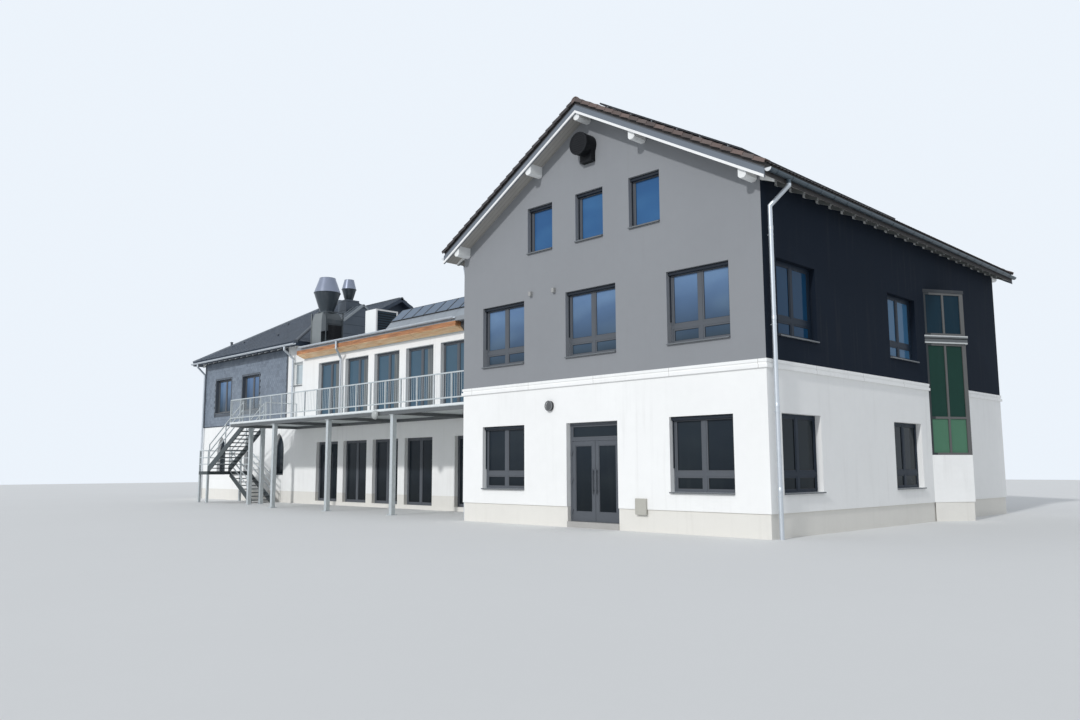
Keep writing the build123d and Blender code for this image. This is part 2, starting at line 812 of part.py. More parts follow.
gutter_z = underside(roof_edge) + roof_drop / 2
gutter_reach = GUTTER_RADIUS + SEAT_GAP
with BuildPart() as main_rainwater:
    for side in (-1, 1):
        gutter_x = side * (roof_edge + gutter_reach)
        with BuildSketch(Plane(origin=(gutter_x, roof_y[0], gutter_z), x_dir=(1, 0, 0), z_dir=(0, -1, 0))):
            gutter_profile()
        extrude(amount=roof_y[0] - roof_y[1])
        pipe_y = front + PIPE_CORNER
        wall_x = side * (half_width + PIPE_STANDOFF)
        outlet_z = gutter_z - GUTTER_RADIUS + GUTTER_THICK / 2
        pipe(
            (gutter_x, pipe_y + MAIN_NECK_SHIFT, outlet_z),
            (gutter_x, pipe_y + MAIN_NECK_SHIFT, outlet_z - MAIN_NECK[0]),
            (wall_x, pipe_y, outlet_z - MAIN_NECK[1]),
            (wall_x, pipe_y, 0),
        )
save(main_rainwater, "main_rainwater")

# Wing: front and rear walls, and the floors of the wing and the end block
with BuildPart() as wing_front_wall:
    with BuildSketch(wing_front):
        rect(wing_left_x, 0, -half_width, WING_ROOF - WING_ROOF_THICK)
        cut_windows(wing_windows)
    extrude(amount=-WALL)
save(wing_front_wall, "wing_front_wall")

with BuildPart() as wing_rear_wall:
    with BuildSketch(wing_rear):
        rect(half_width, 0, -wing_left_x, WING_ROOF - WING_ROOF_THICK)
        cut_windows(wing_rear_windows)
    extrude(amount=-WALL)
save(wing_rear_wall, "wing_rear_wall")

with BuildPart() as wing_floors:
    for x, y in (
        ((wing_left_x, -half_width), (wing_front_y + WALL, wing_rear_y - WALL)),
        ((end_left_x + WALL, wing_left_x - WALL), (wing_front_y + WALL, end_rear_y - WALL)),
    ):
        block(x, y, (0, GROUND_FLOOR))
        block(x, y, (UPPER_FLOOR - FLOOR_THICK, UPPER_FLOOR))
save(wing_floors, "wing_and_end_floors")

with BuildPart() as wing_roof:
    block((wing_left_x, -half_width), (wing_front_y - WING_EAVES, wing_rear_y + WING_REAR_EAVES),
          (WING_ROOF - WING_ROOF_THICK / 2, WING_ROOF))
    block((wing_left_x, -half_width), (wing_front_y, wing_rear_y), (WING_ROOF - WING_ROOF_THICK, WING_ROOF))
save(wing_roof, "wing_roof")

# Sloping parapet over the wing's front: a steep metal apron below, dark panels above
apron_foot = wing_front_y - WING_EAVES
parapet_left_x = -half_width - PARAPET_START - PARAPET_LENGTH
apron_top = (apron_foot + APRON_RUN, WING_ROOF + APRON_RISE)
crown = (apron_top[0] + PANEL_RUN, apron_top[1] + PANEL_RISE)
with BuildPart() as parapet:
    with BuildSketch(Plane.YZ.offset(parapet_left_x)):
        outline(
            (apron_foot, WING_ROOF),
            apron_top,
            crown,
            (crown[0] + PARAPET_CROWN, crown[1]),
            (crown[0] + PARAPET_CROWN, WING_ROOF),
        )
    extrude(amount=PARAPET_LENGTH)
save(parapet, "wing_parapet")

panel_length = (PANEL_RUN**2 + PANEL_RISE**2) ** 0.5
panel_pitch = PARAPET_LENGTH / PANEL_COUNT
panel_plane = Plane(
    origin=(parapet_left_x, *apron_top),
    x_dir=(1, 0, 0),
    z_dir=(0, -PANEL_RISE, PANEL_RUN),
)
on_slope = Plane(
    origin=(0, roof_y[0], ridge_top),
    x_dir=(1, 0, -slope),
    z_dir=(slope, 0, 1),
)
with BuildPart() as solar_panels:
    with BuildSketch(panel_plane):
        for n in range(PANEL_COUNT):
            x = n * panel_pitch
            rect(x + PANEL_GAP, PANEL_GAP, x + panel_pitch - PANEL_GAP, panel_length - PANEL_GAP)
    extrude(amount=PANEL_THICK)
    with BuildSketch(on_slope):
        for column in range(SOLAR_COLUMNS):
            for row in range(SOLAR_ROWS):
                x = SOLAR_TOP + column * (SOLAR_PANEL[0] + PANEL_GAP)
                y = SOLAR_SIDE + row * (SOLAR_PANEL[1] + PANEL_GAP)
                rect(x, y, x + SOLAR_PANEL[0], y + SOLAR_PANEL[1])
    extrude(amount=PANEL_THICK)
save(solar_panels, "solar_panels")

# Timber lining under the wing's eaves, with the dark end piece beside the main block
timber_right_x = -half_width - TIMBER_START
timber_top = WING_ROOF - WING_ROOF_THICK / 2
with BuildPart() as eaves_timber:
    for x0, x1, reach in (
        (wing_left_x, timber_right_x, WING_EAVES),
        (timber_right_x, -half_width, DARK_EAVES),
    ):
        with BuildSketch(Plane.YZ.offset(x0)):
            outline(
                (wing_front_y, WING_ROOF - TIMBER_FOOT),
                (wing_front_y, timber_top),
                (wing_front_y - reach, timber_top),
                (wing_front_y - reach, WING_ROOF - TIMBER_EDGE),
            )
        extrude(amount=x1 - x0)
save(eaves_timber, "wing_eaves_boards")

# Gallery: a deck on an edge beam, its posts and its railing
with BuildPart() as gallery_deck:
    deck_y = (gallery_front_y, wing_front_y)
    block((gallery_left_x, -half_width), deck_y, (UPPER_FLOOR - DECK_THICK, UPPER_FLOOR))
    beam_z = (UPPER_FLOOR - EDGE_BEAM, UPPER_FLOOR - DECK_THICK)
    beam_left = gallery_left_x + EDGE_INSET
    beam_front = gallery_front_y + EDGE_INSET
    block((beam_left, -half_width), (beam_front, beam_front + BEAM_WIDTH), beam_z)
    block((beam_left, -half_width), (wing_front_y - BEAM_WIDTH, wing_front_y), beam_z)
    block((beam_left, beam_left + BEAM_WIDTH), (beam_front, wing_front_y), beam_z)
    for n in range(3):
        x = -half_width - FIRST_POST - n * POST_PITCH
        block((x - BEAM_WIDTH / 2, x + BEAM_WIDTH / 2), (beam_front, wing_front_y), beam_z)
save(gallery_deck, "gallery_deck")

def railing(face, start, end, bay_length, low_rails):
    """A railing along a line on a face: uprights, a handrail and lower rails at the given heights."""
    (x0, z0), (x1, z1) = start, end
    climb = (z1 - z0) / (x1 - x0)
    bays = max(1, round((x1 - x0) / bay_length))
    bay = (x1 - x0 - RAIL_THICK) / bays

    def strip(left, width, low, high):
        right = left + width
        outline(
            (left, low + left * climb),
            (right, low + right * climb),
            (right, high + right * climb),
            (left, high + left * climb),
        )

    with BuildSketch(face) as lattice:
        with Locations((x0, z0)):
            for top in (RAIL_HEIGHT, *low_rails):
                strip(0, x1 - x0, top - RAIL_THICK, top)
            for n in range(bays + 1):
                strip(n * bay, RAIL_THICK, 0, RAIL_HEIGHT)
    extrude(lattice.sketch, amount=RAIL_THICK / 2, both=True)


rail_inset = RAIL_THICK / 2
upper_back = stair_front_y + FLIGHT_WIDTH
lower_front = upper_back + FLIGHT_GAP
lower_back = lower_front + FLIGHT_WIDTH
with BuildPart() as gallery_railing:
    railing(
        Plane.XZ.offset(-gallery_front_y - rail_inset),
        (gallery_left_x, UPPER_FLOOR),
        (-half_width, UPPER_FLOOR),
        RAIL_BAY,
        [LOW_RAIL],
    )
    gallery_end = Plane.YZ.offset(gallery_left_x + rail_inset)
    for y0, y1 in ((upper_back, wing_front_y), (gallery_front_y + RAIL_THICK + SEAT_GAP, stair_front_y)):
        railing(gallery_end, (y0, UPPER_FLOOR), (y1, UPPER_FLOOR), RAIL_BAY, [LOW_RAIL])
save(gallery_railing, "gallery_railing")

# Stair to the gallery: two straight flights and a landing on legs
upper_foot = gallery_left_x - (UPPER_RISERS - 1) * GOING
landing_left = upper_foot - LANDING_DEPTH
lower_foot = upper_foot + (LOWER_RISERS - 1) * GOING


upper_run = (upper_foot, LANDING_HEIGHT, gallery_left_x, UPPER_FLOOR, UPPER_RISERS)
lower_run = (lower_foot, 0, upper_foot, LANDING_HEIGHT, LOWER_RISERS)


def stringer_top(run, x):
    """Height of a stringer's upper edge at a place along its flight."""
    x_low, z_low, x_high, z_high, risers = run
    foot = z_low + (z_high - z_low) / risers + STRINGER_LIP
    return foot + (z_high - foot) * (x - x_low) / (x_high - x_low)


def flight(y, run):
    """Stringers and treads between two levels, open between the treads."""
    x_low, z_low, x_high, z_high, risers = run
    going = (x_high - x_low) / (risers - 1)
    rise = (z_high - z_low) / risers
    for side in (y, y + FLIGHT_WIDTH - STRINGER_THICK):
        with BuildSketch(Plane.XZ.offset(-side)) as stringer:
            outline(
                (x_low, z_low),
                (x_low, stringer_top(run, x_low)),
                (x_high, z_high),
                (x_high, z_high - STRINGER_DEPTH),
                (x_low + (STRINGER_FOOT if x_high > x_low else -STRINGER_FOOT), z_low),
            )
        extrude(stringer.sketch, amount=-STRINGER_THICK)
    inside = (y + STRINGER_THICK, y + FLIGHT_WIDTH - STRINGER_THICK)
    for n in range(1, risers):
        x = sorted((x_low + (n - 1) * going, x_low + n * going))
        z = z_low + n * rise
        block(x, inside, (z - TREAD_THICK, z))


with BuildPart() as upper_flight:
    flight(stair_front_y, upper_run)
save(upper_flight, "stair_upper_flight")

with BuildPart() as lower_flight:
    flight(lower_front, lower_run)
save(lower_flight, "stair_lower_flight")

with BuildPart() as landing:
    landing_y = (stair_front_y, lower_back)
    block((landing_left, upper_foot), landing_y, (LANDING_HEIGHT - LANDING_BEAM, LANDING_HEIGHT))
    block(
        (landing_left + LANDING_LEG, upper_foot - LANDING_LEG),
        (landing_y[0] + LANDING_LEG, landing_y[1] - LANDING_LEG),
        (LANDING_HEIGHT - LANDING_BEAM, LANDING_HEIGHT - TREAD_THICK),
        Mode.SUBTRACT,
    )
save(landing, "stair_landing")

with BuildPart() as posts:
    post_z = (0, UPPER_FLOOR - EDGE_BEAM)
    for n in range(3):
        x = -half_width - FIRST_POST - n * POST_PITCH
        block((x - POST_SIZE / 2, x + POST_SIZE / 2), (beam_front, beam_front + POST_SIZE), post_z)
    for setback in END_POSTS:
        y = gallery_front_y + setback
        block((beam_left, beam_left + POST_SIZE), (y - POST_SIZE / 2, y + POST_SIZE / 2), post_z)
    for x in (landing_left, upper_foot - LANDING_LEG):
        for y in (landing_y[0], landing_y[1] - LANDING_LEG):
            block((x, x + LANDING_LEG), (y, y + LANDING_LEG), (0, LANDING_HEIGHT - LANDING_BEAM))
save(posts, "gallery_and_stair_posts")

with BuildPart() as stair_railing:
    for y in (stair_front_y + rail_inset, upper_back - rail_inset):
        ends = (upper_foot + RAIL_MARGIN, gallery_left_x - RAIL_MARGIN)
        feet = [(x, stringer_top(upper_run, x)) for x in ends]
        railing(Plane.XZ.offset(-y), *feet, STAIR_RAIL_BAY, KNEE_RAILS)
    for y in (lower_front + rail_inset, lower_back - rail_inset):
        face = Plane(origin=(0, y, 0), x_dir=(-1, 0, 0), z_dir=(0, 1, 0))
        ends = (lower_foot - RAIL_MARGIN, upper_foot + RAIL_MARGIN)
        feet = [(-x, stringer_top(lower_run, x)) for x in ends]
        railing(face, *feet, STAIR_RAIL_BAY, KNEE_RAILS)
    railing(
        Plane.YZ.offset(landing_left + rail_inset),
        (stair_front_y + RAIL_THICK + RAIL_JOINT, LANDING_HEIGHT),
        (lower_back - RAIL_THICK - RAIL_JOINT, LANDING_HEIGHT),
        STAIR_RAIL_BAY,
        KNEE_RAILS,
    )
    for y in (stair_front_y + rail_inset, lower_back - rail_inset):
        feet = [(landing_left, LANDING_HEIGHT), (upper_foot, LANDING_HEIGHT)]
        railing(Plane.XZ.offset(-y), *feet, STAIR_RAIL_BAY, KNEE_RAILS)
save(stair_railing, "stair_railing")

# End block: hipped roof, worked out first because the walls stop under it
end_slope = tan(radians(END_PITCH))
end_drop = END_ROOF_THICK / cos(radians(END_PITCH))
end_x = (end_left_x - END_OVERHANG, wing_left_x + END_RIGHT_OVERHANG)
end_y = (wing_front_y - END_OVERHANG, end_rear_y + END_OVERHANG)
end_rise = (end_x[1] - end_x[0]) / 2 * end_slope
end_half = (end_x[1] - end_x[0]) / 2


def hip(eaves, foot):
    """A hipped block with its eaves at one height and its foot at another."""
    with BuildPart() as body:
        with BuildSketch(Plane.XZ.offset(-end_y[0])):
            outline(
                (end_x[0], foot),
                (end_x[0], eaves),
                (end_x[0] + end_half, eaves + end_rise),
                (end_x[1], eaves),
                (end_x[1], foot),
            )
        extrude(amount=end_y[0] - end_y[1])
        with BuildSketch(Plane.YZ.offset(end_x[0])):
            outline(
                (end_y[0], foot),
                (end_y[0], eaves),
                (end_y[0] + end_half, eaves + end_rise),
                (end_y[1] - end_half, eaves + end_rise),
                (end_y[1], eaves),
                (end_y[1], foot),
            )
        extrude(amount=end_x[1] - end_x[0], mode=Mode.INTERSECT)
    return body.part


roof_space = hip(END_EAVES - end_drop, 0)
end_middle = end_x[0] + end_half
hip_y = (end_y[0] + end_half, end_y[1] - end_half)

# Plan of each slope, a little short of its neighbours at the hips and along the ridge
slope_plans = [
    [(end_middle, hip_y[0]), end_x[1], end_x[0], end_y[0]],
    [(end_middle, hip_y[1]), end_x[0], end_x[1], end_y[1]],
]
with BuildPart() as end_roof:
    add(hip(END_EAVES, END_EAVES - end_drop))
    add(roof_space, mode=Mode.SUBTRACT)
    with BuildSketch() as slopes:
        for (peak_x, peak_y), x0, x1, y in slope_plans:
            outline((peak_x, peak_y), (x0, y), (x1, y))
        for side, x in ((-1, end_x[0]), (1, end_x[1])):
            shift = side * SEAT_GAP
            outline(
                (end_middle + shift, hip_y[0]),
                (x + shift, end_y[0]),
                (x + shift, end_y[1]),
                (end_middle + shift, hip_y[1]),
            )
    extrude(slopes.sketch, amount=END_EAVES + end_rise, mode=Mode.INTERSECT)
save(end_roof, "end_roof")


def arch(centre, inset, mode=Mode.ADD):
    """A pointed arch in the open sketch, drawn inside the opening by inset, its arcs in short chords."""
    half = ARCH_WIDTH / 2
    radius = (half**2 + ARCH_RISE**2) / (2 * half)
    inner = radius - inset
    apex = acos((radius - half) / inner)
    angles = [apex * n / ARCH_STEPS for n in range(ARCH_STEPS + 1)]
    curve = [(half - radius + inner * cos(a), ARCH_SPRING + inner * sin(a)) for a in angles]
    foot = (half - inset, ARCH_SILL + inset)
    right = [(centre + x, z) for x, z in (foot, *curve)]
    left = [(centre - x, z) for x, z in (foot, *curve[:-1])]
    outline(*right, *reversed(left), mode=mode)


with BuildPart() as end_front_wall:
    with BuildSketch(wing_front):
        rect(end_left_x, 0, wing_left_x, END_EAVES + WALL)
        cut_windows(end_upper_windows)
        for x in arch_places:
            arch(x, 0, Mode.SUBTRACT)
    extrude(amount=-WALL)
    add(roof_space, mode=Mode.INTERSECT)
save(end_front_wall, "end_front_wall")

with BuildPart() as end_rear_wall:
    with BuildSketch(end_rear):
        rect(-wing_left_x, 0, -end_left_x, END_EAVES + WALL)
        cut_windows(end_rear_windows)
    extrude(amount=-WALL)
    add(roof_space, mode=Mode.INTERSECT)
save(end_rear_wall, "end_rear_wall")

with BuildPart() as end_left_wall:
    with BuildSketch(end_left):
        rect(-end_rear_y + WALL, 0, -wing_front_y - WALL, END_EAVES + WALL)
        cut_windows(end_side_windows)
    extrude(amount=-WALL)
    add(roof_space, mode=Mode.INTERSECT)
save(end_left_wall, "end_left_wall")

with BuildPart() as end_right_wall:
    block((wing_left_x - WALL, wing_left_x), (wing_front_y + WALL, end_rear_y - WALL), (0, END_EAVES + WALL))
    add(roof_space, mode=Mode.INTERSECT)
save(end_right_wall, "end_right_wall")

with BuildPart() as end_frames:
    add_frames(wing_front, wing_windows)
    add_frames(wing_rear, wing_rear_windows)
    add_frames(wing_front, end_upper_windows)
    add_frames(end_rear, end_rear_windows)
    add_frames(end_left, end_side_windows)
    with BuildSketch(wing_front.offset(-RECESS)):
        for x in arch_places:
            arch(x, 0)
            arch(x, FRAME, Mode.SUBTRACT)
    extrude(amount=-FRAME_DEPTH)
save(end_frames, "wing_and_end_window_frames")

with BuildPart() as end_glass:
    add_glass(wing_front, wing_windows)
    add_glass(wing_rear, wing_rear_windows)
    add_glass(wing_front, end_upper_windows)
    add_glass(end_rear, end_rear_windows)
    add_glass(end_left, end_side_windows)
    with BuildSketch(wing_front.offset(-RECESS - (FRAME_DEPTH - GLASS) / 2)):
        for x in arch_places:
            arch(x, FRAME)
    extrude(amount=-GLASS)
save(end_glass, "wing_and_end_window_glass")

# Cross gable of the end block, over the wing
cross_slope = tan(radians(CROSS_PITCH))
cross_drop = CROSS_ROOF_THICK / cos(radians(CROSS_PITCH))
cross_left = end_middle
cross_y = wing_front_y + CROSS_MIDDLE
whole_hip = hip(END_EAVES, 0)


def cross_prism(x, half, lift):
    """A gabled block from a face back to the hipped roof's ridge line."""
    with BuildSketch(Plane.YZ.offset(x)) as profile:
        outline(
            (cross_y - half, END_EAVES - end_drop),
            (cross_y - half, CROSS_RIDGE + lift - half * cross_slope),
            (cross_y, CROSS_RIDGE + lift),
            (cross_y + half, CROSS_RIDGE + lift - half * cross_slope),
            (cross_y + half, END_EAVES - end_drop),
        )
    return profile.sketch


with BuildPart() as cross_gable:
    wall_half = CROSS_HALF - CROSS_EAVES
    extrude(cross_prism(wing_left_x, wall_half, -cross_drop), amount=cross_left - wing_left_x)
    inner_x = wing_left_x - CROSS_WALL
    inner_half = wall_half - CROSS_WALL
    inner_lift = -cross_drop - CROSS_WALL * cross_slope
    extrude(cross_prism(inner_x, inner_half, -cross_drop), amount=cross_left - inner_x, mode=Mode.SUBTRACT)
    add(whole_hip, mode=Mode.SUBTRACT)
save(cross_gable, "end_cross_gable")

with BuildPart() as cross_roof:
    verge_x = wing_left_x + CROSS_VERGE
    extrude(cross_prism(verge_x, CROSS_HALF, 0), amount=cross_left - verge_x)
    extrude(cross_prism(verge_x, CROSS_HALF, -cross_drop), amount=cross_left - verge_x, mode=Mode.SUBTRACT)
    add(whole_hip, mode=Mode.SUBTRACT)
save(cross_roof, "end_cross_roof")

# Rafter ends under the end block's eaves
with BuildPart() as end_rafters:
    top = END_EAVES - end_drop + END_OVERHANG * end_slope
    for wall, direction in ((wing_front_y, -1), (end_rear_y, 1)):
        with BuildSketch(*rafter_planes(Plane.YZ, end_left_x, end_x[1] - END_OVERHANG)):
            rafter_profile(wall, direction, top, end_slope, END_OVERHANG)
        extrude(amount=RAFTER_WIDTH)
    with BuildSketch(*rafter_planes(Plane.XZ, wing_front_y, end_rear_y)):
        rafter_profile(end_left_x, -1, top, end_slope, END_OVERHANG)
    extrude(amount=-RAFTER_WIDTH)
save(end_rafters, "end_rafter_ends")

# Rainwater goods of the wing and the end block
with BuildPart() as wing_rainwater:
    gutter_y = wing_front_y - WING_EAVES - gutter_reach
    gutter_start = (wing_left_x + WING_GUTTER_END, gutter_y, WING_ROOF)
    with BuildSketch(Plane(origin=gutter_start, x_dir=(0, 1, 0), z_dir=(1, 0, 0))):
        gutter_profile()
    extrude(amount=timber_right_x - gutter_start[0])
    outlet_z = WING_ROOF - GUTTER_RADIUS + GUTTER_THICK / 2
    wall_y = wing_front_y - PIPE_STANDOFF
    pipe_x = -half_width - WING_PIPE
    pipe(
        (pipe_x, gutter_y, outlet_z),
        (pipe_x, gutter_y, outlet_z - WING_NECK[0]),
        (pipe_x - WING_NECK_SHIFT, wall_y, outlet_z - WING_NECK[1]),
        (pipe_x - WING_NECK_SHIFT, wall_y, UPPER_FLOOR),
    )
    gutter_z = END_EAVES - end_drop / 2
    for y in (end_y[0] - gutter_reach, end_y[1] + gutter_reach):
        with BuildSketch(Plane(origin=(end_x[0], y, gutter_z), x_dir=(0, 1, 0), z_dir=(1, 0, 0))):
            gutter_profile()
        extrude(amount=end_x[1] - end_x[0])
    x = end_x[0] - gutter_reach
    with BuildSketch(Plane(origin=(x, end_y[0], gutter_z), x_dir=(1, 0, 0), z_dir=(0, -1, 0))):
        gutter_profile()
    extrude(amount=end_y[0] - end_y[1])
    outlet_z = gutter_z - GUTTER_RADIUS + GUTTER_THICK / 2
    pipe_y = end_y[0] - gutter_reach
    end_pipes = (
        (wing_left_x - END_RIGHT_PIPE, END_NECK_SHIFTS[0], UPPER_FLOOR),
        (end_left_x + END_LEFT_PIPE, END_NECK_SHIFTS[1], 0),
    )
    for x, shift, foot in end_pipes:
        pipe(
            (x, pipe_y, outlet_z),
            (x, pipe_y, outlet_z - END_NECK[0]),
            (x - shift, wall_y, outlet_z - END_NECK[1]),
            (x - shift, wall_y, foot),
        )
save(wing_rainwater, "wing_and_end_rainwater")

# Duct box on the wing's roof, drawn in to a square neck under the hood
duct_x = (wing_left_x + DUCT_PLACE, wing_left_x + DUCT_PLACE + DUCT_SIZE[0])
duct_y = (wing_front_y, wing_front_y + DUCT_SIZE[1])
duct_top = WING_ROOF + DUCT_SIZE[2]
hood_centre = (wing_left_x + HOOD_PLACE, (duct_y[0] + duct_y[1]) / 2)
hood_foot = duct_top + COLLAR_RISE
with BuildPart() as neck:
    for plane, (start, end), middle, mode in (
        (Plane.XZ.offset(-duct_y[0]), duct_x, hood_centre[0], Mode.ADD),
        (Plane.YZ.offset(duct_x[0]), duct_y, hood_centre[1], Mode.INTERSECT),
    ):
        with BuildSketch(plane):
            outline(
                (start, duct_top),
                (middle - COLLAR_SIZE / 2, hood_foot),
                (middle + COLLAR_SIZE / 2, hood_foot),
                (end, duct_top),
            )
        extrude(amount=-DUCT_SIZE[1] if mode == Mode.ADD else DUCT_SIZE[0], mode=mode)

with BuildPart() as duct:
    block(duct_x, duct_y, (WING_ROOF, duct_top))
    notch_width, notch_depth, notch_height = DUCT_NOTCH
    block(
        (duct_x[1] - notch_width, duct_x[1]),
        (duct_y[0], duct_y[0] + notch_depth),
        (WING_ROOF, WING_ROOF + notch_height),
        Mode.SUBTRACT,
    )
    add(neck.part)
save(duct, "roof_duct")


def hood(centre, foot, stages):
    """A sheet-metal hood of straight stages: radius at the foot, radius at the top, height."""
    with BuildPart() as body:
        for lower, upper, height in stages:
            wide, rise = (upper, -height) if upper > lower else (lower, height)
            base = foot + height if upper > lower else foot
            with BuildSketch(Plane(origin=(*centre, base))) as ring:
                RegularPolygon(wide, HOOD_SIDES)
            taper = degrees(atan2(abs(upper - lower) * cos(pi / HOOD_SIDES), height))
            extrude(ring.sketch, amount=rise, taper=taper)
            foot += height
    return body


save(hood(hood_centre, hood_foot, HOOD_STAGES), "roof_hood_front")

# Small seam-clad house beside the duct, with a hood on the curb over its ridge
house_x = (wing_left_x + HOUSE_PLACE, wing_left_x + HOUSE_PLACE + HOUSE_SIZE[0])
house_y = (duct_y[1], duct_y[1] + HOUSE_SIZE[1])
house_middle = (house_y[0] + house_y[1]) / 2
house_eaves = WING_ROOF + HOUSE_SIZE[2]
house_ridge = house_eaves + HOUSE_RISE
vent_centre = (wing_left_x + VENT_PLACE_X, house_middle)
vent_foot = house_ridge + VENT_LIFT
with BuildPart() as duct_house:
    with BuildSketch(Plane.YZ.offset(house_x[0])):
        outline(
            (house_y[0], WING_ROOF),
            (house_y[0], house_eaves),
            (house_middle, house_ridge),
            (house_y[1], house_eaves),
            (house_y[1], WING_ROOF),
        )
    extrude(amount=HOUSE_SIZE[0])
    curb = VENT_CURB / 2
    block(
        (vent_centre[0] - curb, vent_centre[0] + curb),
        (vent_centre[1] - curb, vent_centre[1] + curb),
        (house_eaves, vent_foot),
    )
save(duct_house, "roof_duct_house")
save(hood(vent_centre, vent_foot, VENT_STAGES), "roof_hood_rear")

# White air hood on the terrace, open downwards at its back
air_hood_x = wing_left_x + AIR_HOOD_PLACE[0]
air_hood_y = wing_front_y + AIR_HOOD_PLACE[1]
air_hood_top = WING_ROOF + AIR_HOOD_SIZE[2]
with BuildPart() as air_hood:
    with BuildSketch(Plane.YZ.offset(air_hood_x)):
        outline(
            (air_hood_y, WING_ROOF),
            (air_hood_y, air_hood_top),
            (air_hood_y + AIR_HOOD_SIZE[1], air_hood_top),
            (air_hood_y + AIR_HOOD_SIZE[1], WING_ROOF + AIR_HOOD_BACK),
            (air_hood_y + AIR_HOOD_FOOT, WING_ROOF),
        )
    extrude(amount=AIR_HOOD_SIZE[0])
save(air_hood, "roof_air_hood")
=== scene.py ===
from itertools import product
from math import cos, pi, radians, sin, sqrt

import bmesh
import bpy
from mathutils import Matrix, Vector


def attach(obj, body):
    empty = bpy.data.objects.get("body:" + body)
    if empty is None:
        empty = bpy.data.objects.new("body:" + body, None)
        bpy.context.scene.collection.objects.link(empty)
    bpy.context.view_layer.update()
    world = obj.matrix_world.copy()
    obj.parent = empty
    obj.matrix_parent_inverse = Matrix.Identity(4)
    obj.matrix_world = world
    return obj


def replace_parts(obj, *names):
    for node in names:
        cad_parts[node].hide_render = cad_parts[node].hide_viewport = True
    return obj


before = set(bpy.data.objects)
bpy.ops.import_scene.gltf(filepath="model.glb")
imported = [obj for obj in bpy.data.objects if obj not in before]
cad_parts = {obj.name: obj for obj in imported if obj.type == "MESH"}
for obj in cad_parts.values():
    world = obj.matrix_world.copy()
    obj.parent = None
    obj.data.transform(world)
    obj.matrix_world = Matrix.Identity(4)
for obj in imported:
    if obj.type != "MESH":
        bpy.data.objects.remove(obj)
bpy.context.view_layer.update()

building = bpy.context.scene.collection


# The walls of the main block: brickwork 420 mm thick under a felted lime render. The base
# coat is beige up to 0.53 m, the ground floor is painted white, and grey starts behind the
# moulded band. Above the band the long sides are painted near black-blue, as painted shade,
# and the gables keep a lighter grey.
class Nodes:
    """Puts nodes into one finish, effect or laying tree, and links them by their sockets."""

    def __init__(self, tree):
        self.tree = tree

    def put(self, kind, sockets=(), out=0, **settings):
        if not kind.startswith(("GeometryNode", "FunctionNode")):
            kind = "ShaderNode" + kind
        node = self.tree.nodes.new(kind)
        for name, value in settings.items():
            setattr(node, name, value)
        for key, value in dict(sockets).items():
            self.fill(node.inputs[key], value)
        return node.outputs[out]

    def fill(self, socket, value):
        if isinstance(value, bpy.types.NodeSocket):
            self.tree.links.new(value, socket)
        elif socket.type == "RGBA" and len(value) == 3:
            socket.default_value = (*value, 1.0)
        else:
            socket.default_value = value

    def place(self):
        return self.put("TexCoord", out=3)

    def part(self, axis, vector=None):
        """One coordinate of the place on the building, or of another vector."""
        vector = self.place() if vector is None else vector
        return self.put("SeparateXYZ", {0: vector}, out=axis)

    def xyz(self):
        return [self.part(axis) for axis in range(3)]

    def facing(self, axis):
        return self.part(axis, self.put("NewGeometry", out=1))

    def calc(self, operation, first, second=0.0):
        return self.put("Math", {0: first, 1: second}, operation=operation)

    def vector(self, operation, first, second, key=1):
        return self.put("VectorMath", {0: first, key: second}, operation=operation)

    def times(self, first, *others):
        for other in others:
            first = self.calc("MULTIPLY", first, other)
        return first

    def span(self, value):
        return self.calc("ABSOLUTE", value)

    def above(self, value, level):
        return self.calc("GREATER_THAN", value, level)

    def below(self, value, level):
        return self.calc("LESS_THAN", value, level)

    def joint(self, value, half_pitch, half_width):
        """A narrow line, once in every two half pitches."""
        return self.below(self.calc("PINGPONG", value, half_pitch), half_width)

    def blend(self, amount, under, over, mode="MIX"):
        return self.put("Mix", {0: amount, 6: under, 7: over}, out=2, data_type="RGBA",
                        blend_type=mode)

    def spread(self, value, low, high, to_low=0.0, to_high=1.0):
        return self.put("MapRange", {0: value, 1: low, 2: high, 3: to_low, 4: to_high})

    def cloud(self, where, size, detail=3.0):
        return self.put("TexNoise", {"Vector": where, "Scale": 1.0 / size, "Detail": detail})

    def stretched(self, where, scale, turn=(0.0, 0.0, 0.0)):
        return self.put("Mapping", {"Vector": where, "Rotation": turn, "Scale": scale})

    def bands(self, value, stops):
        output = self.put("ValToRGB", {0: value})
        ramp = output.node.color_ramp
        while len(ramp.elements) < len(stops):
            ramp.elements.new(0.5)
        for element, (position, colour) in zip(ramp.elements, stops):
            element.position = position
            element.color = (*colour, 1.0)
        return output


def effect(name, inputs, outputs):
    """An effect that several finishes use: its nodes, and its input and output sockets."""
    group = bpy.data.node_groups.new(name, "ShaderNodeTree")
    for title, kind, value in inputs:
        socket = group.interface.new_socket(
            name=title, in_out="INPUT", socket_type="NodeSocket" + kind)
        socket.default_value = value
    for title, kind in outputs:
        group.interface.new_socket(
            name=title, in_out="OUTPUT", socket_type="NodeSocket" + kind)
    given = group.nodes.new("NodeGroupInput").outputs
    result = group.nodes.new("NodeGroupOutput").inputs
    return group, Nodes(group), given, result


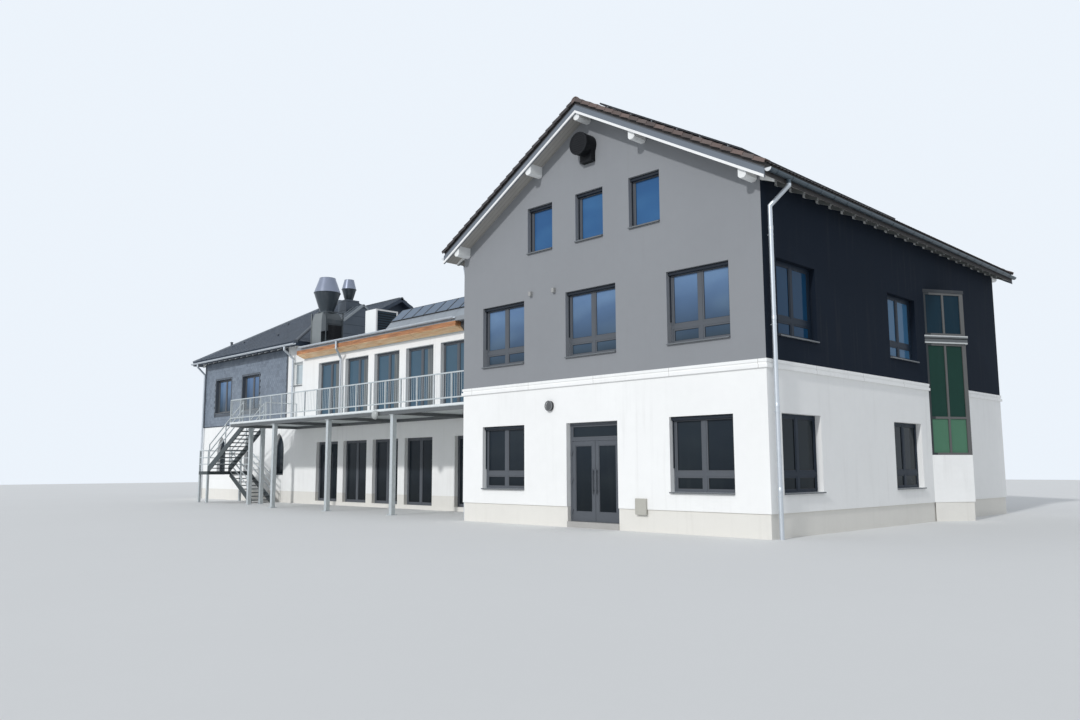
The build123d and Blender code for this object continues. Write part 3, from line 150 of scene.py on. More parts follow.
# weather: patches lighter and darker than the colour, and rain streaks of soil.
weather, made, given, result = effect(
    "weather",
    [("Colour", "Color", (0.5, 0.5, 0.5, 1)), ("Soil", "Color", (0.2, 0.18, 0.15, 1)),
     ("Patch Size", "Float", 1.5), ("Patches", "Float", 0.1), ("Streaks", "Float", 0.1)],
    [("Colour", "Color"), ("Mask", "Float")])
where = made.place()
scale = made.calc("DIVIDE", 1.0, given["Patch Size"])
patch = made.put("TexNoise", {"Vector": where, "Scale": scale, "Detail": 4.0})
speck = made.put("TexNoise", {"Vector": where, "Scale": made.times(scale, 9.0), "Detail": 2.0})
both = made.calc("ADD", made.times(patch, 0.75), made.times(speck, 0.25))
swing = made.times(made.calc("SUBTRACT", both, 0.5), given["Patches"], 2.0)
tinted = made.vector("SCALE", given["Colour"], made.calc("ADD", 1.0, swing), 3)
runs = made.cloud(made.stretched(where, (7.0, 7.0, 0.45)), 1.0)
fade = made.cloud(where, 2.6, 2.0)
mask = made.times(made.spread(runs, 0.52, 0.78), made.spread(fade, 0.4, 0.7))
dirt = made.times(mask, given["Streaks"])
made.fill(result["Colour"], made.blend(dirt, tinted, given["Soil"]))
made.fill(result["Mask"], mask)

# grain: the fine unevenness of a coat or a cast surface, as a height in metres.
grain, made, given, result = effect(
    "grain", [("Size", "Float", 0.01), ("Depth", "Float", 0.001)], [("Height", "Float")])
coarse = made.put("TexNoise", {"Vector": made.place(), "Scale": made.calc(
    "DIVIDE", 1.0, given["Size"]), "Detail": 5.0, "Roughness": 0.65})
made.fill(result["Height"], made.times(coarse, given["Depth"]))


def finish(name, colour, roughness, metallic=0.0, soil=(0.20, 0.18, 0.15), patches=(1.5, 0.10),
           streaks=0.12, grained=(0.012, 0.0008), relief=None, **skin_values):
    """One named finish. The colour and relief may each be a function that makes them."""
    material = bpy.data.materials.new(name)
    material.use_nodes = True
    nodes = Nodes(material.node_tree)
    skin = material.node_tree.nodes["Principled BSDF"]
    marks = nodes.put("Group", node_tree=weather).node
    for key, value in (("Colour", colour(nodes) if callable(colour) else colour),
                       ("Soil", soil), ("Patch Size", patches[0]), ("Patches", patches[1]),
                       ("Streaks", streaks)):
        nodes.fill(marks.inputs[key], value)
    nodes.fill(skin.inputs["Base Color"], marks.outputs["Colour"])
    nodes.fill(skin.inputs["Roughness"], nodes.spread(
        marks.outputs["Mask"], 0.0, 1.0, roughness, min(1.0, roughness + 0.18)))
    skin.inputs["Metallic"].default_value = metallic
    for key, value in skin_values.items():
        skin.inputs[key.replace("_", " ")].default_value = value
    bed = nodes.put("Group", node_tree=grain).node
    bed.inputs["Size"].default_value, bed.inputs["Depth"].default_value = grained
    height = bed.outputs["Height"]
    if relief:
        height = nodes.calc("ADD", height, relief(nodes))
    nodes.fill(skin.inputs["Normal"], nodes.put("Bump", {"Height": height, "Distance": 1.0}))
    return material


def split(under, over, level, axis=2, looking=False):
    """A colour that changes at one level of a coordinate, or of the way that a face looks."""
    def colour(nodes):
        value = nodes.facing(axis) if looking else nodes.part(axis)
        return nodes.blend(nodes.above(value, level), under, over)
    return colour


def jointed(colour, line, half_pitch, half_width, axis=2):
    """A colour with narrow lines across it, at a regular pitch."""
    return lambda nodes: nodes.blend(
        nodes.joint(nodes.part(axis), half_pitch, half_width), colour, line)


def dress(material, *names):
    for name in names:
        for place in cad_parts[name].material_slots:
            place.material = material


WHITE_PAINT = (0.90, 0.90, 0.885)
BASE_COAT = (0.78, 0.76, 0.71)
GABLE_GREY = (0.275, 0.285, 0.30)
# The near black-blue of the long sides is painted shade.
SHADED_SIDE_GREY = (0.009, 0.015, 0.026)
PLINTH_TOP, GREY_FROM, INSIDE_X, INSIDE_Y = 0.53, 3.75, 5.0, 6.85
ground_floor_paint = split(BASE_COAT, WHITE_PAINT, PLINTH_TOP)


def painted(gable, side):
    def colour(nodes):
        x, y, height = nodes.xyz()
        # The long sides, and faces turned to them beyond the gable corners, take the side colour,
        # which on the main block is painted shade.
        outer = nodes.times(nodes.above(nodes.span(nodes.facing(0)), 0.7),
                            nodes.above(nodes.span(x), INSIDE_X))
        shaded_long_side = nodes.calc("MAXIMUM", outer, nodes.below(nodes.span(y), INSIDE_Y))
        return nodes.blend(nodes.above(height, GREY_FROM), ground_floor_paint(nodes),
                           nodes.blend(shaded_long_side, gable, side))
    return colour


dress(finish("block_render", painted(GABLE_GREY, SHADED_SIDE_GREY), 0.87, patches=(2.2, 0.07),
             streaks=0.10, Specular_IOR_Level=0.12),
      "main_front_gable", "main_front_wall_left", "main_front_wall_right", "main_door_lintel",
      "main_rear_wall", "main_right_wall", "main_left_wall")


# The floors of the three blocks: concrete slabs with a ground screed, cast in place
# between the walls.
dress(finish("screed", (0.42, 0.41, 0.39), 0.9, patches=(0.8, 0.2)), "main_floors",
      "wing_and_end_floors")


# The moulded band between the storeys: white stone, run round the block in lengths of
# about 2.4 m with fine joints.
def band_colour(nodes):
    along = nodes.calc("ADD", nodes.part(0), nodes.part(1))
    return nodes.blend(nodes.joint(along, 1.2, 0.006), (0.91, 0.91, 0.895), (0.55, 0.54, 0.51))


dress(finish("band_stone", band_colour, 0.7, patches=(0.6, 0.06), streaks=0.22,
             soil=(0.35, 0.33, 0.30)), "main_string_course")


# The roof timbers: white purlins through the gables, and rafters with soffit boards over the
# eaves. The purlin and rafter ends are planed and painted. The rafters under the eaves are
# painted dark grey, as painted shade.
def wood_height(size=0.02, depth=0.0012, stretch=(1.0, 1.0, 1.0)):
    def relief(nodes):
        return nodes.times(nodes.cloud(nodes.stretched(nodes.place(), stretch), size), depth)
    return relief


EAVES_FROM, GABLE_FACE = 5.16, 7.28


def timber_paint(nodes):
    # The rafters under the eaves are painted dark grey: painted shade.
    shaded_rafters = nodes.times(nodes.above(nodes.span(nodes.part(0)), EAVES_FROM),
                          nodes.below(nodes.span(nodes.part(1)), GABLE_FACE))
    return nodes.blend(shaded_rafters, (0.84, 0.85, 0.84), (0.18, 0.19, 0.185))


dress(finish("timber_paint", timber_paint, 0.55, patches=(0.5, 0.08), streaks=0.25,
             relief=wood_height(0.05, 0.001, (1, 0.15, 1))), "main_roof_timbers")


# The bargeboards: grey painted planks along both verges, with a white fillet nailed along
# their lower edge and a rebate under the verge tiles.
RIDGE, SLOPE = 11.1405, 0.565773
ROOF_HALF, ROOF_FRONT, ROOF_BACK = 5.50, -7.73, 7.98
RUN = sqrt(1 + SLOPE * SLOPE)
DOWN, RISE = 1 / RUN, SLOPE / RUN


def outward(mesh):
    """Turns every face of a closed mesh to the outside."""
    work = bmesh.new()
    work.from_mesh(mesh)
    bmesh.ops.remove_doubles(work, verts=work.verts, dist=1e-6)
    bmesh.ops.recalc_face_normals(work, faces=work.faces)
    work.to_mesh(mesh)
    work.free()
    return mesh


class Shape:
    """Boards, bars, prisms and turned bodies, all closed, gathered into one mesh."""

    def __init__(self):
        self.corners, self.faces = [], []

    def add(self, corners, faces, place=None):
        first = len(self.corners)
        self.corners += [place @ Vector(c) if place else Vector(c) for c in corners]
        self.faces += [[first + i for i in face] for face in faces]
        return self

    def board(self, one, other, chamfer=0.003, place=None):
        """A box between two opposite corners, with its edges planed off."""
        ends = Vector(map(min, one, other)), Vector(map(max, one, other))
        signs = list(product((0, 1), repeat=3))
        corners, owner = [], {}
        for sign, full in product(signs, range(3)):
            owner[sign, full] = len(corners)
            corners.append([ends[sign[a]][a] + (a != full) * chamfer * (1 - 2 * sign[a])
                            for a in range(3)])
        faces = [[owner[sign, full] for full in range(3)] for sign in signs]
        for a in range(3):
            def at(i, u, v, full):
                sign = (i, u, v)[-a:] + (i, u, v)[:-a]
                return owner[sign, full]

            b, c = (a + 1) % 3, (a + 2) % 3
            faces += [[at(i, u, v, a) for u, v in ((0, 0), (1, 0), (1, 1), (0, 1))]
                      for i in (0, 1)]
            faces += [[at(0, u, v, b), at(1, u, v, b), at(1, u, v, c), at(0, u, v, c)]
                      for u, v in product((0, 1), repeat=2)]
        middle = (ends[0] + ends[1]) / 2
        for face in faces:
            p, q, r = (Vector(corners[i]) for i in face[:3])
            if (q - p).cross(r - p).dot(p - middle) < 0:
                face.reverse()
        return self.add(corners, faces, place)

    def turned(self, outline, sides=24, place=None, hollow=False, begin=0.0, sweep=2 * pi):
        whole = sweep > 6.28
        steps = sides if whole else sides + 1
        corners = [(r * cos(begin + sweep * j / sides), r * sin(begin + sweep * j / sides), z)
                   for r, z in outline for j in range(steps)]
        rings = len(outline)
        faces = []
        for i in range(rings if hollow else rings - 1):
            up = (i + 1) % rings
            for j in range(sides):
                over = (j + 1) % steps
                faces.append([i * steps + j, i * steps + over, up * steps + over,
                              up * steps + j])
        if not hollow:
            faces.append([steps - 1 - j for j in range(steps)])
            faces.append([(rings - 1) * steps + j for j in range(steps)])
        elif not whole:
            faces.append([i * steps for i in range(rings)])
            faces.append([i * steps + steps - 1 for i in reversed(range(rings))])
        return self.add(corners, faces, place)

    def ring(self, inner, outer, low, high, sides, place=None, **part):
        outline = [(inner, low), (outer, low), (outer, high), (inner, high)]
        return self.turned(outline, sides, place, hollow=True, **part)

    def bar(self, start, end, radius, sides=10):
        start, end = Vector(start), Vector(end)
        place = Matrix.Translation(start) @ (end - start).to_track_quat(
            "Z", "Y").to_matrix().to_4x4()
        return self.turned([(radius, 0), (radius, (end - start).length)], sides, place)

    def prism(self, outline, low, high, place=None):
        count = len(outline)
        corners = [(x, y, z) for z in (low, high) for x, y in outline]
        faces = [[i, (i + 1) % count, count + (i + 1) % count, count + i]
                 for i in range(count)]
        faces += [list(reversed(range(count))), list(range(count, 2 * count))]
        return self.add(corners, faces, place)

    def mesh(self, name, smooth=None, outwards=False):
        data = bpy.data.meshes.new(name)
        data.from_pydata(self.corners, [], self.faces)
        if smooth:
            data.shade_smooth()
            data.set_sharp_from_angle(angle=radians(smooth))
        return outward(data) if outwards else data


def stand(name, data):
    thing = bpy.data.objects.new(name, data)
    building.objects.link(thing)
    return thing


def fixed(name, shape, material, slot, body="building", **making):
    """A finished piece on the body that carries it."""
    mesh = shape.mesh(name, **making) if isinstance(shape, Shape) else shape
    thing = stand(name, mesh)
    mesh.materials.clear()
    mesh.materials.append(material)
    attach(thing, body)
    return thing


def bargeboard_paint(nodes):
    fall = nodes.times(nodes.span(nodes.part(0)), SLOPE)
    drop = nodes.calc("SUBTRACT", RIDGE, nodes.calc("ADD", nodes.part(2), fall))
    return nodes.blend(nodes.below(drop, 0.15), (0.145, 0.168, 0.200), (0.075, 0.085, 0.100))


plank_height = wood_height(0.04, 0.0008, (0.2, 1, 0.2))
dress(finish("bargeboard_paint", bargeboard_paint, 0.5, patches=(0.5, 0.08), streaks=0.15,
             relief=plank_height), "main_bargeboards")
white_paint = finish("white_fillet_paint", (0.88, 0.88, 0.87), 0.5, patches=(0.4, 0.05),
                     streaks=0.2, relief=plank_height)
UNDERSIDE, FILLET_NEAR, FILLET_FAR = 0.2987, 0.036, 0.062
fillets = Shape()
for side, ends in product((1, -1), ((ROOF_FRONT - FILLET_FAR, ROOF_FRONT - FILLET_NEAR),
                                    (ROOF_BACK + FILLET_NEAR, ROOF_BACK + FILLET_FAR))):
    corners = [(side * x, y, RIDGE - drop - x * SLOPE) for y, x, drop in product(
        ends, (0.0, ROOF_HALF), (UNDERSIDE + 0.062, UNDERSIDE - 0.006))]
    faces = [[0, 1, 3, 2], [4, 6, 7, 5], [0, 2, 6, 4], [1, 5, 7, 3], [0, 4, 5, 1], [2, 3, 7, 6]]
    fillets.add(corners, faces if side < 0 else [face[::-1] for face in faces])
fixed("bargeboard_fillets", fillets, white_paint, "painted_boards")


# The tiles of the main roof: dark interlocking concrete tiles with two rolls, hung on
# battens from the eaves up over a boarded deck. Geometry nodes lay the rows and columns.
def laying_tree():
    """Lays one piece in rows and columns, inside an area and clear of openings."""
    tree = bpy.data.node_groups.new("laid_in_rows", "GeometryNodeTree")
    for kind, titles in (("Geometry", "Geometry"), ("Object", "Piece Area Openings"),
                         ("Material", "Finish"), ("Vector", "Start Along Up Facing Turn"),
                         ("Int", "Columns Rows Seed"), ("Float", "Shift Looseness"),
                         ("Bool", "Trimmed")):
        for title in titles.split():
            tree.interface.new_socket(name=title, in_out="INPUT",
                                      socket_type="NodeSocket" + kind)
    tree.interface.new_socket(name="Geometry", in_out="OUTPUT",
                              socket_type="NodeSocketGeometry")
    given = tree.nodes.new("NodeGroupInput").outputs
    made = Nodes(tree)
    put, calc, vector = made.put, made.calc, made.vector
    index = put("GeometryNodeInputIndex")
    column = calc("MODULO", index, given["Columns"])
    row = calc("FLOOR", calc("DIVIDE", calc("ADD", index, 0.5), given["Columns"]))
    column = calc("ADD", column, made.times(calc("MODULO", row, 2.0), given["Shift"]))
    spot = vector("ADD", given["Start"], vector("ADD", vector(
        "SCALE", given["Along"], column, 3), vector("SCALE", given["Up"], row, 3)))
    points = put("GeometryNodePoints", {
        "Count": made.times(given["Columns"], given["Rows"]), "Position": spot})
    back = vector("SUBTRACT", put("GeometryNodeInputPosition"), given["Facing"])
    hits = []
    for title in ("Area", "Openings"):
        target = put("GeometryNodeObjectInfo", {"Object": given[title]}).node
        hits.append(put("GeometryNodeRaycast", {
            "Target Geometry": target.outputs["Geometry"], "Source Position": back,
            "Ray Direction": given["Facing"], "Ray Length": 4.0}))
    outside = put("FunctionNodeBooleanMath", {0: given["Trimmed"], 1: put(
        "FunctionNodeBooleanMath", {0: hits[0]}, operation="NOT")})
    away = put("FunctionNodeBooleanMath", {0: outside, 1: hits[1]}, operation="OR")
    points = put("GeometryNodeDeleteGeometry", {"Geometry": points, "Selection": away})
    jitter = put("FunctionNodeRandomValue", {
        "Min": vector("SCALE", (-1.0, -1.0, -1.0), given["Looseness"], 3),
        "Max": vector("SCALE", (1.0, 1.0, 1.0), given["Looseness"], 3),
        "Seed": given["Seed"]}, data_type="FLOAT_VECTOR")
    turn = put("FunctionNodeEulerToRotation", {"Euler": vector("ADD", given["Turn"], jitter)})
    piece = put("GeometryNodeObjectInfo", {"Object": given["Piece"]}).node
    laid = put("GeometryNodeInstanceOnPoints", {
        "Points": points, "Instance": piece.outputs["Geometry"], "Rotation": turn})
    plain = put("GeometryNodeRealizeInstances", {"Geometry": laid})
    dressed = put("GeometryNodeSetMaterial", {"Geometry": plain, "Material": given["Finish"]})
    tree.links.new(dressed, tree.nodes.new("NodeGroupOutput").inputs[0])
    return tree


laid_in_rows = laying_tree()


def lay(name, piece, material, slot, parts):
    """Lays the piece once for each part, and fixes all of it as one mesh."""
    pattern = stand("pattern", piece)
    spent = [pattern]
    gathered = bmesh.new()
    for number, part in enumerate(parts):
        holder = stand("holder", bpy.data.meshes.new("holder"))
        spent.append(holder)
        values = {"Piece": pattern, "Finish": material, "Rows": 1, "Up": (0.0, 0.0, 0.0),
                  "Turn": (0.0, 0.0, 0.0), "Facing": (0.0, 1.0, 0.0), "Shift": 0.0,
                  "Looseness": 0.0, "Seed": 7 + number, **part, "Trimmed": "Area" in part}
        for key in ("Area", "Openings"):
            values[key] = None
            if part.get(key):
                sheet = Shape()
                for face in part[key]:
                    sheet.add(face, [range(len(face))])
                values[key] = stand(key, sheet.mesh(key))
                spent.append(values[key])
        rows = holder.modifiers.new("rows", "NODES")
        rows.node_group = laid_in_rows
        for item in laid_in_rows.interface.items_tree:
            if item.in_out == "INPUT" and values.get(item.name) is not None:
                rows[item.identifier] = values[item.name]
        holder.data.update()
        gathered.from_mesh(bpy.data.meshes.new_from_object(
            holder.evaluated_get(bpy.context.evaluated_depsgraph_get())))
        holder.modifiers.clear()
    for thing in spent:
        bpy.data.objects.remove(thing)
    whole = bpy.data.meshes.new(name)
    gathered.to_mesh(whole)
    gathered.free()
    return fixed(name, whole, material, slot)


def turn_of(across, down):
    """The turn that sets a piece's x across and its y down a slope."""
    across, down = Vector(across).normalized(), Vector(down).normalized()
    return tuple(Matrix((across, down, across.cross(down))).transposed().to_euler())


TILE_ROWS, TILE_COLUMNS = 21, 52
TILE_GAUGE = (ROOF_HALF * RUN + 0.04) / TILE_ROWS
TILE_COVER = (ROOF_BACK - ROOF_FRONT) / TILE_COLUMNS


def tile_piece():
    width, length, thick, roll = TILE_COVER / 2 + 0.004, TILE_GAUGE + 0.06, 0.011, 0.016
    steps = 10
    corners = []
    for (y, lift), under, i in product(((-length, 0.003), (0.0, 0.016)), (0, 1),
                                       range(steps + 1)):
        wave = roll * max(0.0, cos(4 * pi * i / steps + pi)) ** 0.8
        corners.append((-width + 2 * width * i / steps, y,
                        lift + wave - thick * under * (y == 0) - 0.002 * under))
    row = steps + 1
    faces = []
    for i in range(steps):
        faces += [[i, 2 * row + i, 2 * row + i + 1, i + 1],
                  [2 * row + i, 3 * row + i, 3 * row + i + 1, 2 * row + i + 1],
                  [row + i, row + i + 1, 3 * row + i + 1, 3 * row + i],
                  [i, i + 1, row + i + 1, row + i]]
    faces += [[0, row, 3 * row, 2 * row], [steps, 2 * row + steps, 3 * row + steps, row + steps]]
    return Shape().add(corners, faces).mesh("tile", outwards=True)


def each_differs(first, second, third):
    """A colour that changes from one laid piece to the next."""
    def colour(nodes):
        return nodes.bands(nodes.put("NewGeometry", out=8), [
            (0.0, first), (0.55, second), (1.0, third)])
    return colour


def roof_deck_colour(nodes):
    soffit = jointed((0.38, 0.365, 0.34), (0.15, 0.14, 0.13), 0.06, 0.004, 1)(nodes)
    return nodes.blend(nodes.below(nodes.facing(2), -0.3), (0.055, 0.052, 0.052), soffit)


def up_the_slope(side, y):
    """Where a piece starts at the eaves, how it is turned, and the step up to the next."""
    low = ROOF_HALF + 0.04 * DOWN
    return {"Start": (side * low, y, RIDGE - low * SLOPE), "Looseness": 0.004,
            "Turn": turn_of((0, -side, 0), (side * DOWN, 0, -RISE))}, (
                -side * TILE_GAUGE * DOWN, 0.0, TILE_GAUGE * RISE)


dress(finish("roof_deck", roof_deck_colour, 0.75, patches=(0.4, 0.12), streaks=0.1),
      "main_roof_left", "main_roof_right")
tile_clay = finish("roof_tile", each_differs(
    (0.055, 0.050, 0.050), (0.075, 0.066, 0.064), (0.050, 0.052, 0.056)), 0.72,
    soil=(0.10, 0.11, 0.08), patches=(0.3, 0.25), streaks=0.25, grained=(0.01, 0.0012))
tile = tile_piece()
for side, word in ((1, "right"), (-1, "left")):
    part, step = up_the_slope(side, ROOF_FRONT + TILE_COVER / 2)
    lay("roof_tiles_" + word, tile, tile_clay, "roof_tile", [{
        **part, "Up": step, "Along": (0.0, TILE_COVER, 0.0), "Columns": TILE_COLUMNS,
        "Rows": TILE_ROWS}])


# The verge tiles: brown clay angles over the tile edge and the bargeboard, one a course,
# and the half-round ridge tiles on top, each lapping the next.
def verge_colour(nodes):
    clay = each_differs((0.080, 0.064, 0.060), (0.165, 0.118, 0.104), (0.118, 0.098, 0.092))
    # Left of the ridge the verge and ridge tiles are painted near black, as painted shade.
    return nodes.blend(nodes.below(nodes.part(0), -0.1), clay(nodes), (0.050, 0.045, 0.046))


verge_clay = finish("verge_tile", verge_colour, 0.70, soil=(0.10, 0.10, 0.08),
                    patches=(0.3, 0.25), streaks=0.2, grained=(0.01, 0.0012))
VERGE_OUT, VERGE_IN, VERGE_DROP = 0.072, 0.13, 0.046
verge = Shape().prism(
    [(-VERGE_IN, 0.020), (VERGE_OUT - 0.02, 0.020), (VERGE_OUT - 0.02, -VERGE_DROP),
     (VERGE_OUT, -VERGE_DROP), (VERGE_OUT, 0.035), (VERGE_OUT - 0.008, 0.043),
     (-VERGE_IN, 0.043)], 0.0, TILE_GAUGE + 0.03,
    Matrix(((1, 0, 0, 0), (0, 0, -1, 0), (0, 1, 0, 0), (0, 0, 0, 1))))
for corner in verge.corners:
    lower = 1 + corner.y / TILE_GAUGE
    corner.z += 0.022 * lower
    if corner.x > VERGE_OUT - 0.010:
        corner.x += 0.010 * lower
right_hand = verge.mesh("verge_tile", outwards=True)
left_hand = right_hand.copy()
left_hand.transform(Matrix.Diagonal((-1, 1, 1, 1)))
outward(left_hand)
for word, piece, ends in (("right", right_hand, ((1, ROOF_FRONT), (-1, ROOF_BACK))),
                          ("left", left_hand, ((1, ROOF_BACK), (-1, ROOF_FRONT)))):
    parts = []
    for side, y in ends:
        part, step = up_the_slope(side, y)
        parts.append({**part, "Along": step, "Columns": TILE_ROWS})
    lay("verge_tiles_" + word + "_hand", piece, verge_clay, "roof_tile", parts)

RIDGE_TILES, RIDGE_RADIUS = 38, 0.125
pitch = (ROOF_BACK - ROOF_FRONT + 0.12) / RIDGE_TILES
capping = Shape().turned(
    [(RIDGE_RADIUS - 0.014, 0.0), (RIDGE_RADIUS + 0.012, 0.0), (RIDGE_RADIUS + 0.012, 0.05),
     (RIDGE_RADIUS, 0.055), (RIDGE_RADIUS - 0.010, pitch + 0.03),
     (RIDGE_RADIUS - 0.022, pitch + 0.03)], 12, Matrix.Rotation(-pi / 2, 4, "X"), hollow=True,
    begin=pi + 0.1, sweep=pi - 0.2)
lay("ridge_tiles", capping.mesh("ridge_tile", 35, True), verge_clay, "roof_tile", [{
    "Start": (0.0, ROOF_FRONT - 0.06, RIDGE - 0.055), "Along": (0.0, pitch, 0.0),
    "Columns": RIDGE_TILES}])


# The gutters and rainwater pipes: weathered zinc sheet, the gutters painted dark above the
# pipes, with weathering and painted shade. Straps hold the gutters to the rafters, and
# two-part clips hold the pipes 30 mm off the wall.
def to_front(x=0.0, y=0.0, z=0.0):
    """The place of a round piece that faces the front."""
    return Matrix.Translation((x, y, z)) @ Matrix.Rotation(pi / 2, 4, "X")


GUTTER_X, GUTTER_Z, GUTTER_R, GUTTER_SHADE_FROM = 5.5753, 7.879, 0.075, 7.72
# Higher up, on the gutters, the zinc is painted dark: weathering and painted shade.
zinc = finish("zinc_sheet", split((0.60, 0.64, 0.68), (0.075, 0.100, 0.120), GUTTER_SHADE_FROM), 0.42,
              metallic=0.55, soil=(0.30, 0.31, 0.32), patches=(0.35, 0.16), streaks=0.35,
              grained=(0.05, 0.0006))
dress(zinc, "main_rainwater", "wing_and_end_rainwater")
lower_half = {"begin": pi, "sweep": pi}
strap = Shape().ring(GUTTER_R + 0.001, GUTTER_R + 0.006, -0.015, 0.015, 14, to_front(),
                     **lower_half)
lay("gutter_straps", strap.mesh("strap", 35, True), zinc, "zinc", [
    {"Start": (side * GUTTER_X, ROOF_FRONT + 0.32, GUTTER_Z), "Along": (0.0, 0.644, 0.0),
     "Columns": 24} for side in (1, -1)])
stops = Shape()
for side, y in product((1, -1), (ROOF_FRONT + 0.002, ROOF_BACK + 0.008)):
    stops.ring(0.004, GUTTER_R + 0.006, 0.0, 0.010, 14, to_front(side * GUTTER_X, y, GUTTER_Z),
               **lower_half)
# The stop ends are a brighter zinc than the gutters.
fixed("gutter_stop_ends", stops, finish(
    "bright_zinc", (0.72, 0.74, 0.75), 0.4, metallic=0.4, patches=(0.1, 0.1)), "zinc",
    smooth=35, outwards=True)

PIPE_X, PIPE_Y, PIPE_R = 5.215, -7.09, 0.05
clips = Shape()
for side, z in product((1, -1), (0.9, 2.7, 4.6, 6.6)):
    middle = Vector((side * PIPE_X, PIPE_Y, z))
    place = Matrix.Translation(middle)
    clips.ring(PIPE_R + 0.001, PIPE_R + 0.005, -0.016, 0.016, 18, place)
    to_wall = Vector((-side, 0, 0))
    clips.bar(middle + to_wall * (PIPE_R + 0.003), middle + to_wall * (PIPE_R + 0.04), 0.006, 8)
    clips.board((-0.012, PIPE_R, -0.014), (0.012, PIPE_R + 0.016, 0.014), 0.002,
                place @ Matrix.Rotation(pi / 2, 4, "Z"))
    clips.turned([(PIPE_R + 0.0045, 0.10), (PIPE_R + 0.0045, 0.19), (PIPE_R + 0.001, 0.195)],
                 18, place)
fixed("pipe_clips", clips, zinc, "zinc", smooth=35)


# The windows: dark grey aluminium frames screwed into the reveals, with sashes, black
# glazing gaskets, and glass painted with a reflection of the sky above and with the shade of
# the dark rooms below. On the right side of the main block frames and glass are painted
# darker, as painted shade.
LINK_X, LINK_HALF, LINK_FROM = -21.2, 0.7, 5.2


def link_window(nodes):
    """Marks the one white window, beside the end block."""
    away = nodes.span(nodes.calc("SUBTRACT", nodes.part(0), LINK_X))
    return nodes.times(nodes.above(nodes.part(2), LINK_FROM), nodes.below(away, LINK_HALF))


def frame_colour(nodes):
    # Frames on the right side of the main block are painted darker: painted shade.
    frames = split((0.105, 0.115, 0.130), (0.014, 0.024, 0.040), 4.62, 0)(nodes)
    return nodes.blend(link_window(nodes), frames, (0.80, 0.81, 0.80))


frame_metal = finish("window_frame", frame_colour, 0.42, Specular_IOR_Level=0.15,
                     soil=(0.16, 0.16, 0.16), patches=(0.4, 0.08), streaks=0.08,
                     grained=(0.003, 0.0001))
dress(frame_metal, "main_window_frames", "wing_and_end_window_frames", "main_door_frame",
      "door_leaf_left", "door_leaf_right")


WING_X, DOORS_Z, DOORS_FROM, DOOR_PITCH = (-20.5, -5.2), (3.4, 6.3), -31.26, 2.185


def pane_colour(nodes):
    where = nodes.place()
    x, y, z = nodes.xyz()
    # Painted reflection of the sky, light high up, and painted shade of the dark rooms low down.
    painted_sky_reflection = nodes.bands(nodes.calc("DIVIDE", z, 10.0), [
        (0.0, (0.008, 0.011, 0.014)), (0.30, (0.022, 0.031, 0.042)),
        (0.44, (0.034, 0.052, 0.070)), (0.63, (0.130, 0.225, 0.400)),
        (0.74, (0.036, 0.110, 0.255)), (0.9, (0.036, 0.110, 0.255))])
    # Painted reflection of drifting clouds.
    painted_cloud_reflection = nodes.cloud(nodes.stretched(where, (0.5, 0.5, 1.1), (0.3, 0.2, 0.5)), 0.8, 1.0)
    front = nodes.blend(nodes.spread(painted_cloud_reflection, 0.42, 0.66, 0.0, 0.5), painted_sky_reflection,
                        nodes.blend(1.0, painted_sky_reflection, (1.6, 1.5, 1.3), "MULTIPLY"))
    # The panes on the right side are painted darker and bluer, as painted shade and painted
    # reflection of the reveals.
    side = nodes.blend(nodes.above(y, -3.0), (0.012, 0.055, 0.120), (0.050, 0.140, 0.255))
    side = nodes.blend(nodes.above(z, 4.0), (0.008, 0.016, 0.022), side)
    seen = nodes.blend(nodes.above(x, 4.85), front, side)
    # The French doors hold drawn curtains behind the left sash of each pair.
    pair = nodes.calc("FRACT", nodes.calc(
        "DIVIDE", nodes.calc("SUBTRACT", x, DOORS_FROM), DOOR_PITCH))
    folds = nodes.cloud(nodes.stretched(where, (16.0, 1.0, 0.7), (0.0, 0.12, 0.0)), 1.0, 2.0)
    curtain = nodes.blend(folds, (0.040, 0.046, 0.050), (0.26, 0.28, 0.28))
    upstairs = nodes.times(nodes.below(x, WING_X[1]), nodes.above(x, WING_X[0]),
                           nodes.above(z, DOORS_Z[0]), nodes.below(z, DOORS_Z[1]))
    doors = nodes.blend(upstairs, seen, (0.070, 0.125, 0.175))
    doors = nodes.blend(nodes.times(upstairs, nodes.below(pair, 0.5)), doors, curtain)
    return nodes.blend(link_window(nodes), doors, (0.50, 0.57, 0.60))


pane_look = {"soil": (0.2, 0.2, 0.19), "grained": (0.8, 0.0008), "Specular_IOR_Level": 0.09}
dress(finish("window_glass", pane_colour, 0.05, patches=(1.0, 0.10), streaks=0.04, **pane_look),
      "main_window_glass", "wing_and_end_window_glass", "door_glass_left", "door_glass_right")


def panes_of(name):
    """The box of each pane of a glass node, read from a merged copy."""
    work = bmesh.new()
    work.from_mesh(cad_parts[name].data)
    bmesh.ops.remove_doubles(work, verts=work.verts, dist=1e-5)
    left, boxes = set(work.verts), []
    while left:
        island, edge = set(), [left.pop()]
        while edge:
            vert = edge.pop()
            island.add(vert)
            for link in vert.link_edges:
                other = link.other_vert(vert)
                if other in left:
                    left.discard(other)
                    edge.append(other)
        places = [vert.co for vert in island]
        boxes.append((Vector(map(min, zip(*places))), Vector(map(max, zip(*places))),
                      len(island)))
    work.free()
    return sorted(boxes, key=lambda box: tuple(box[0]))


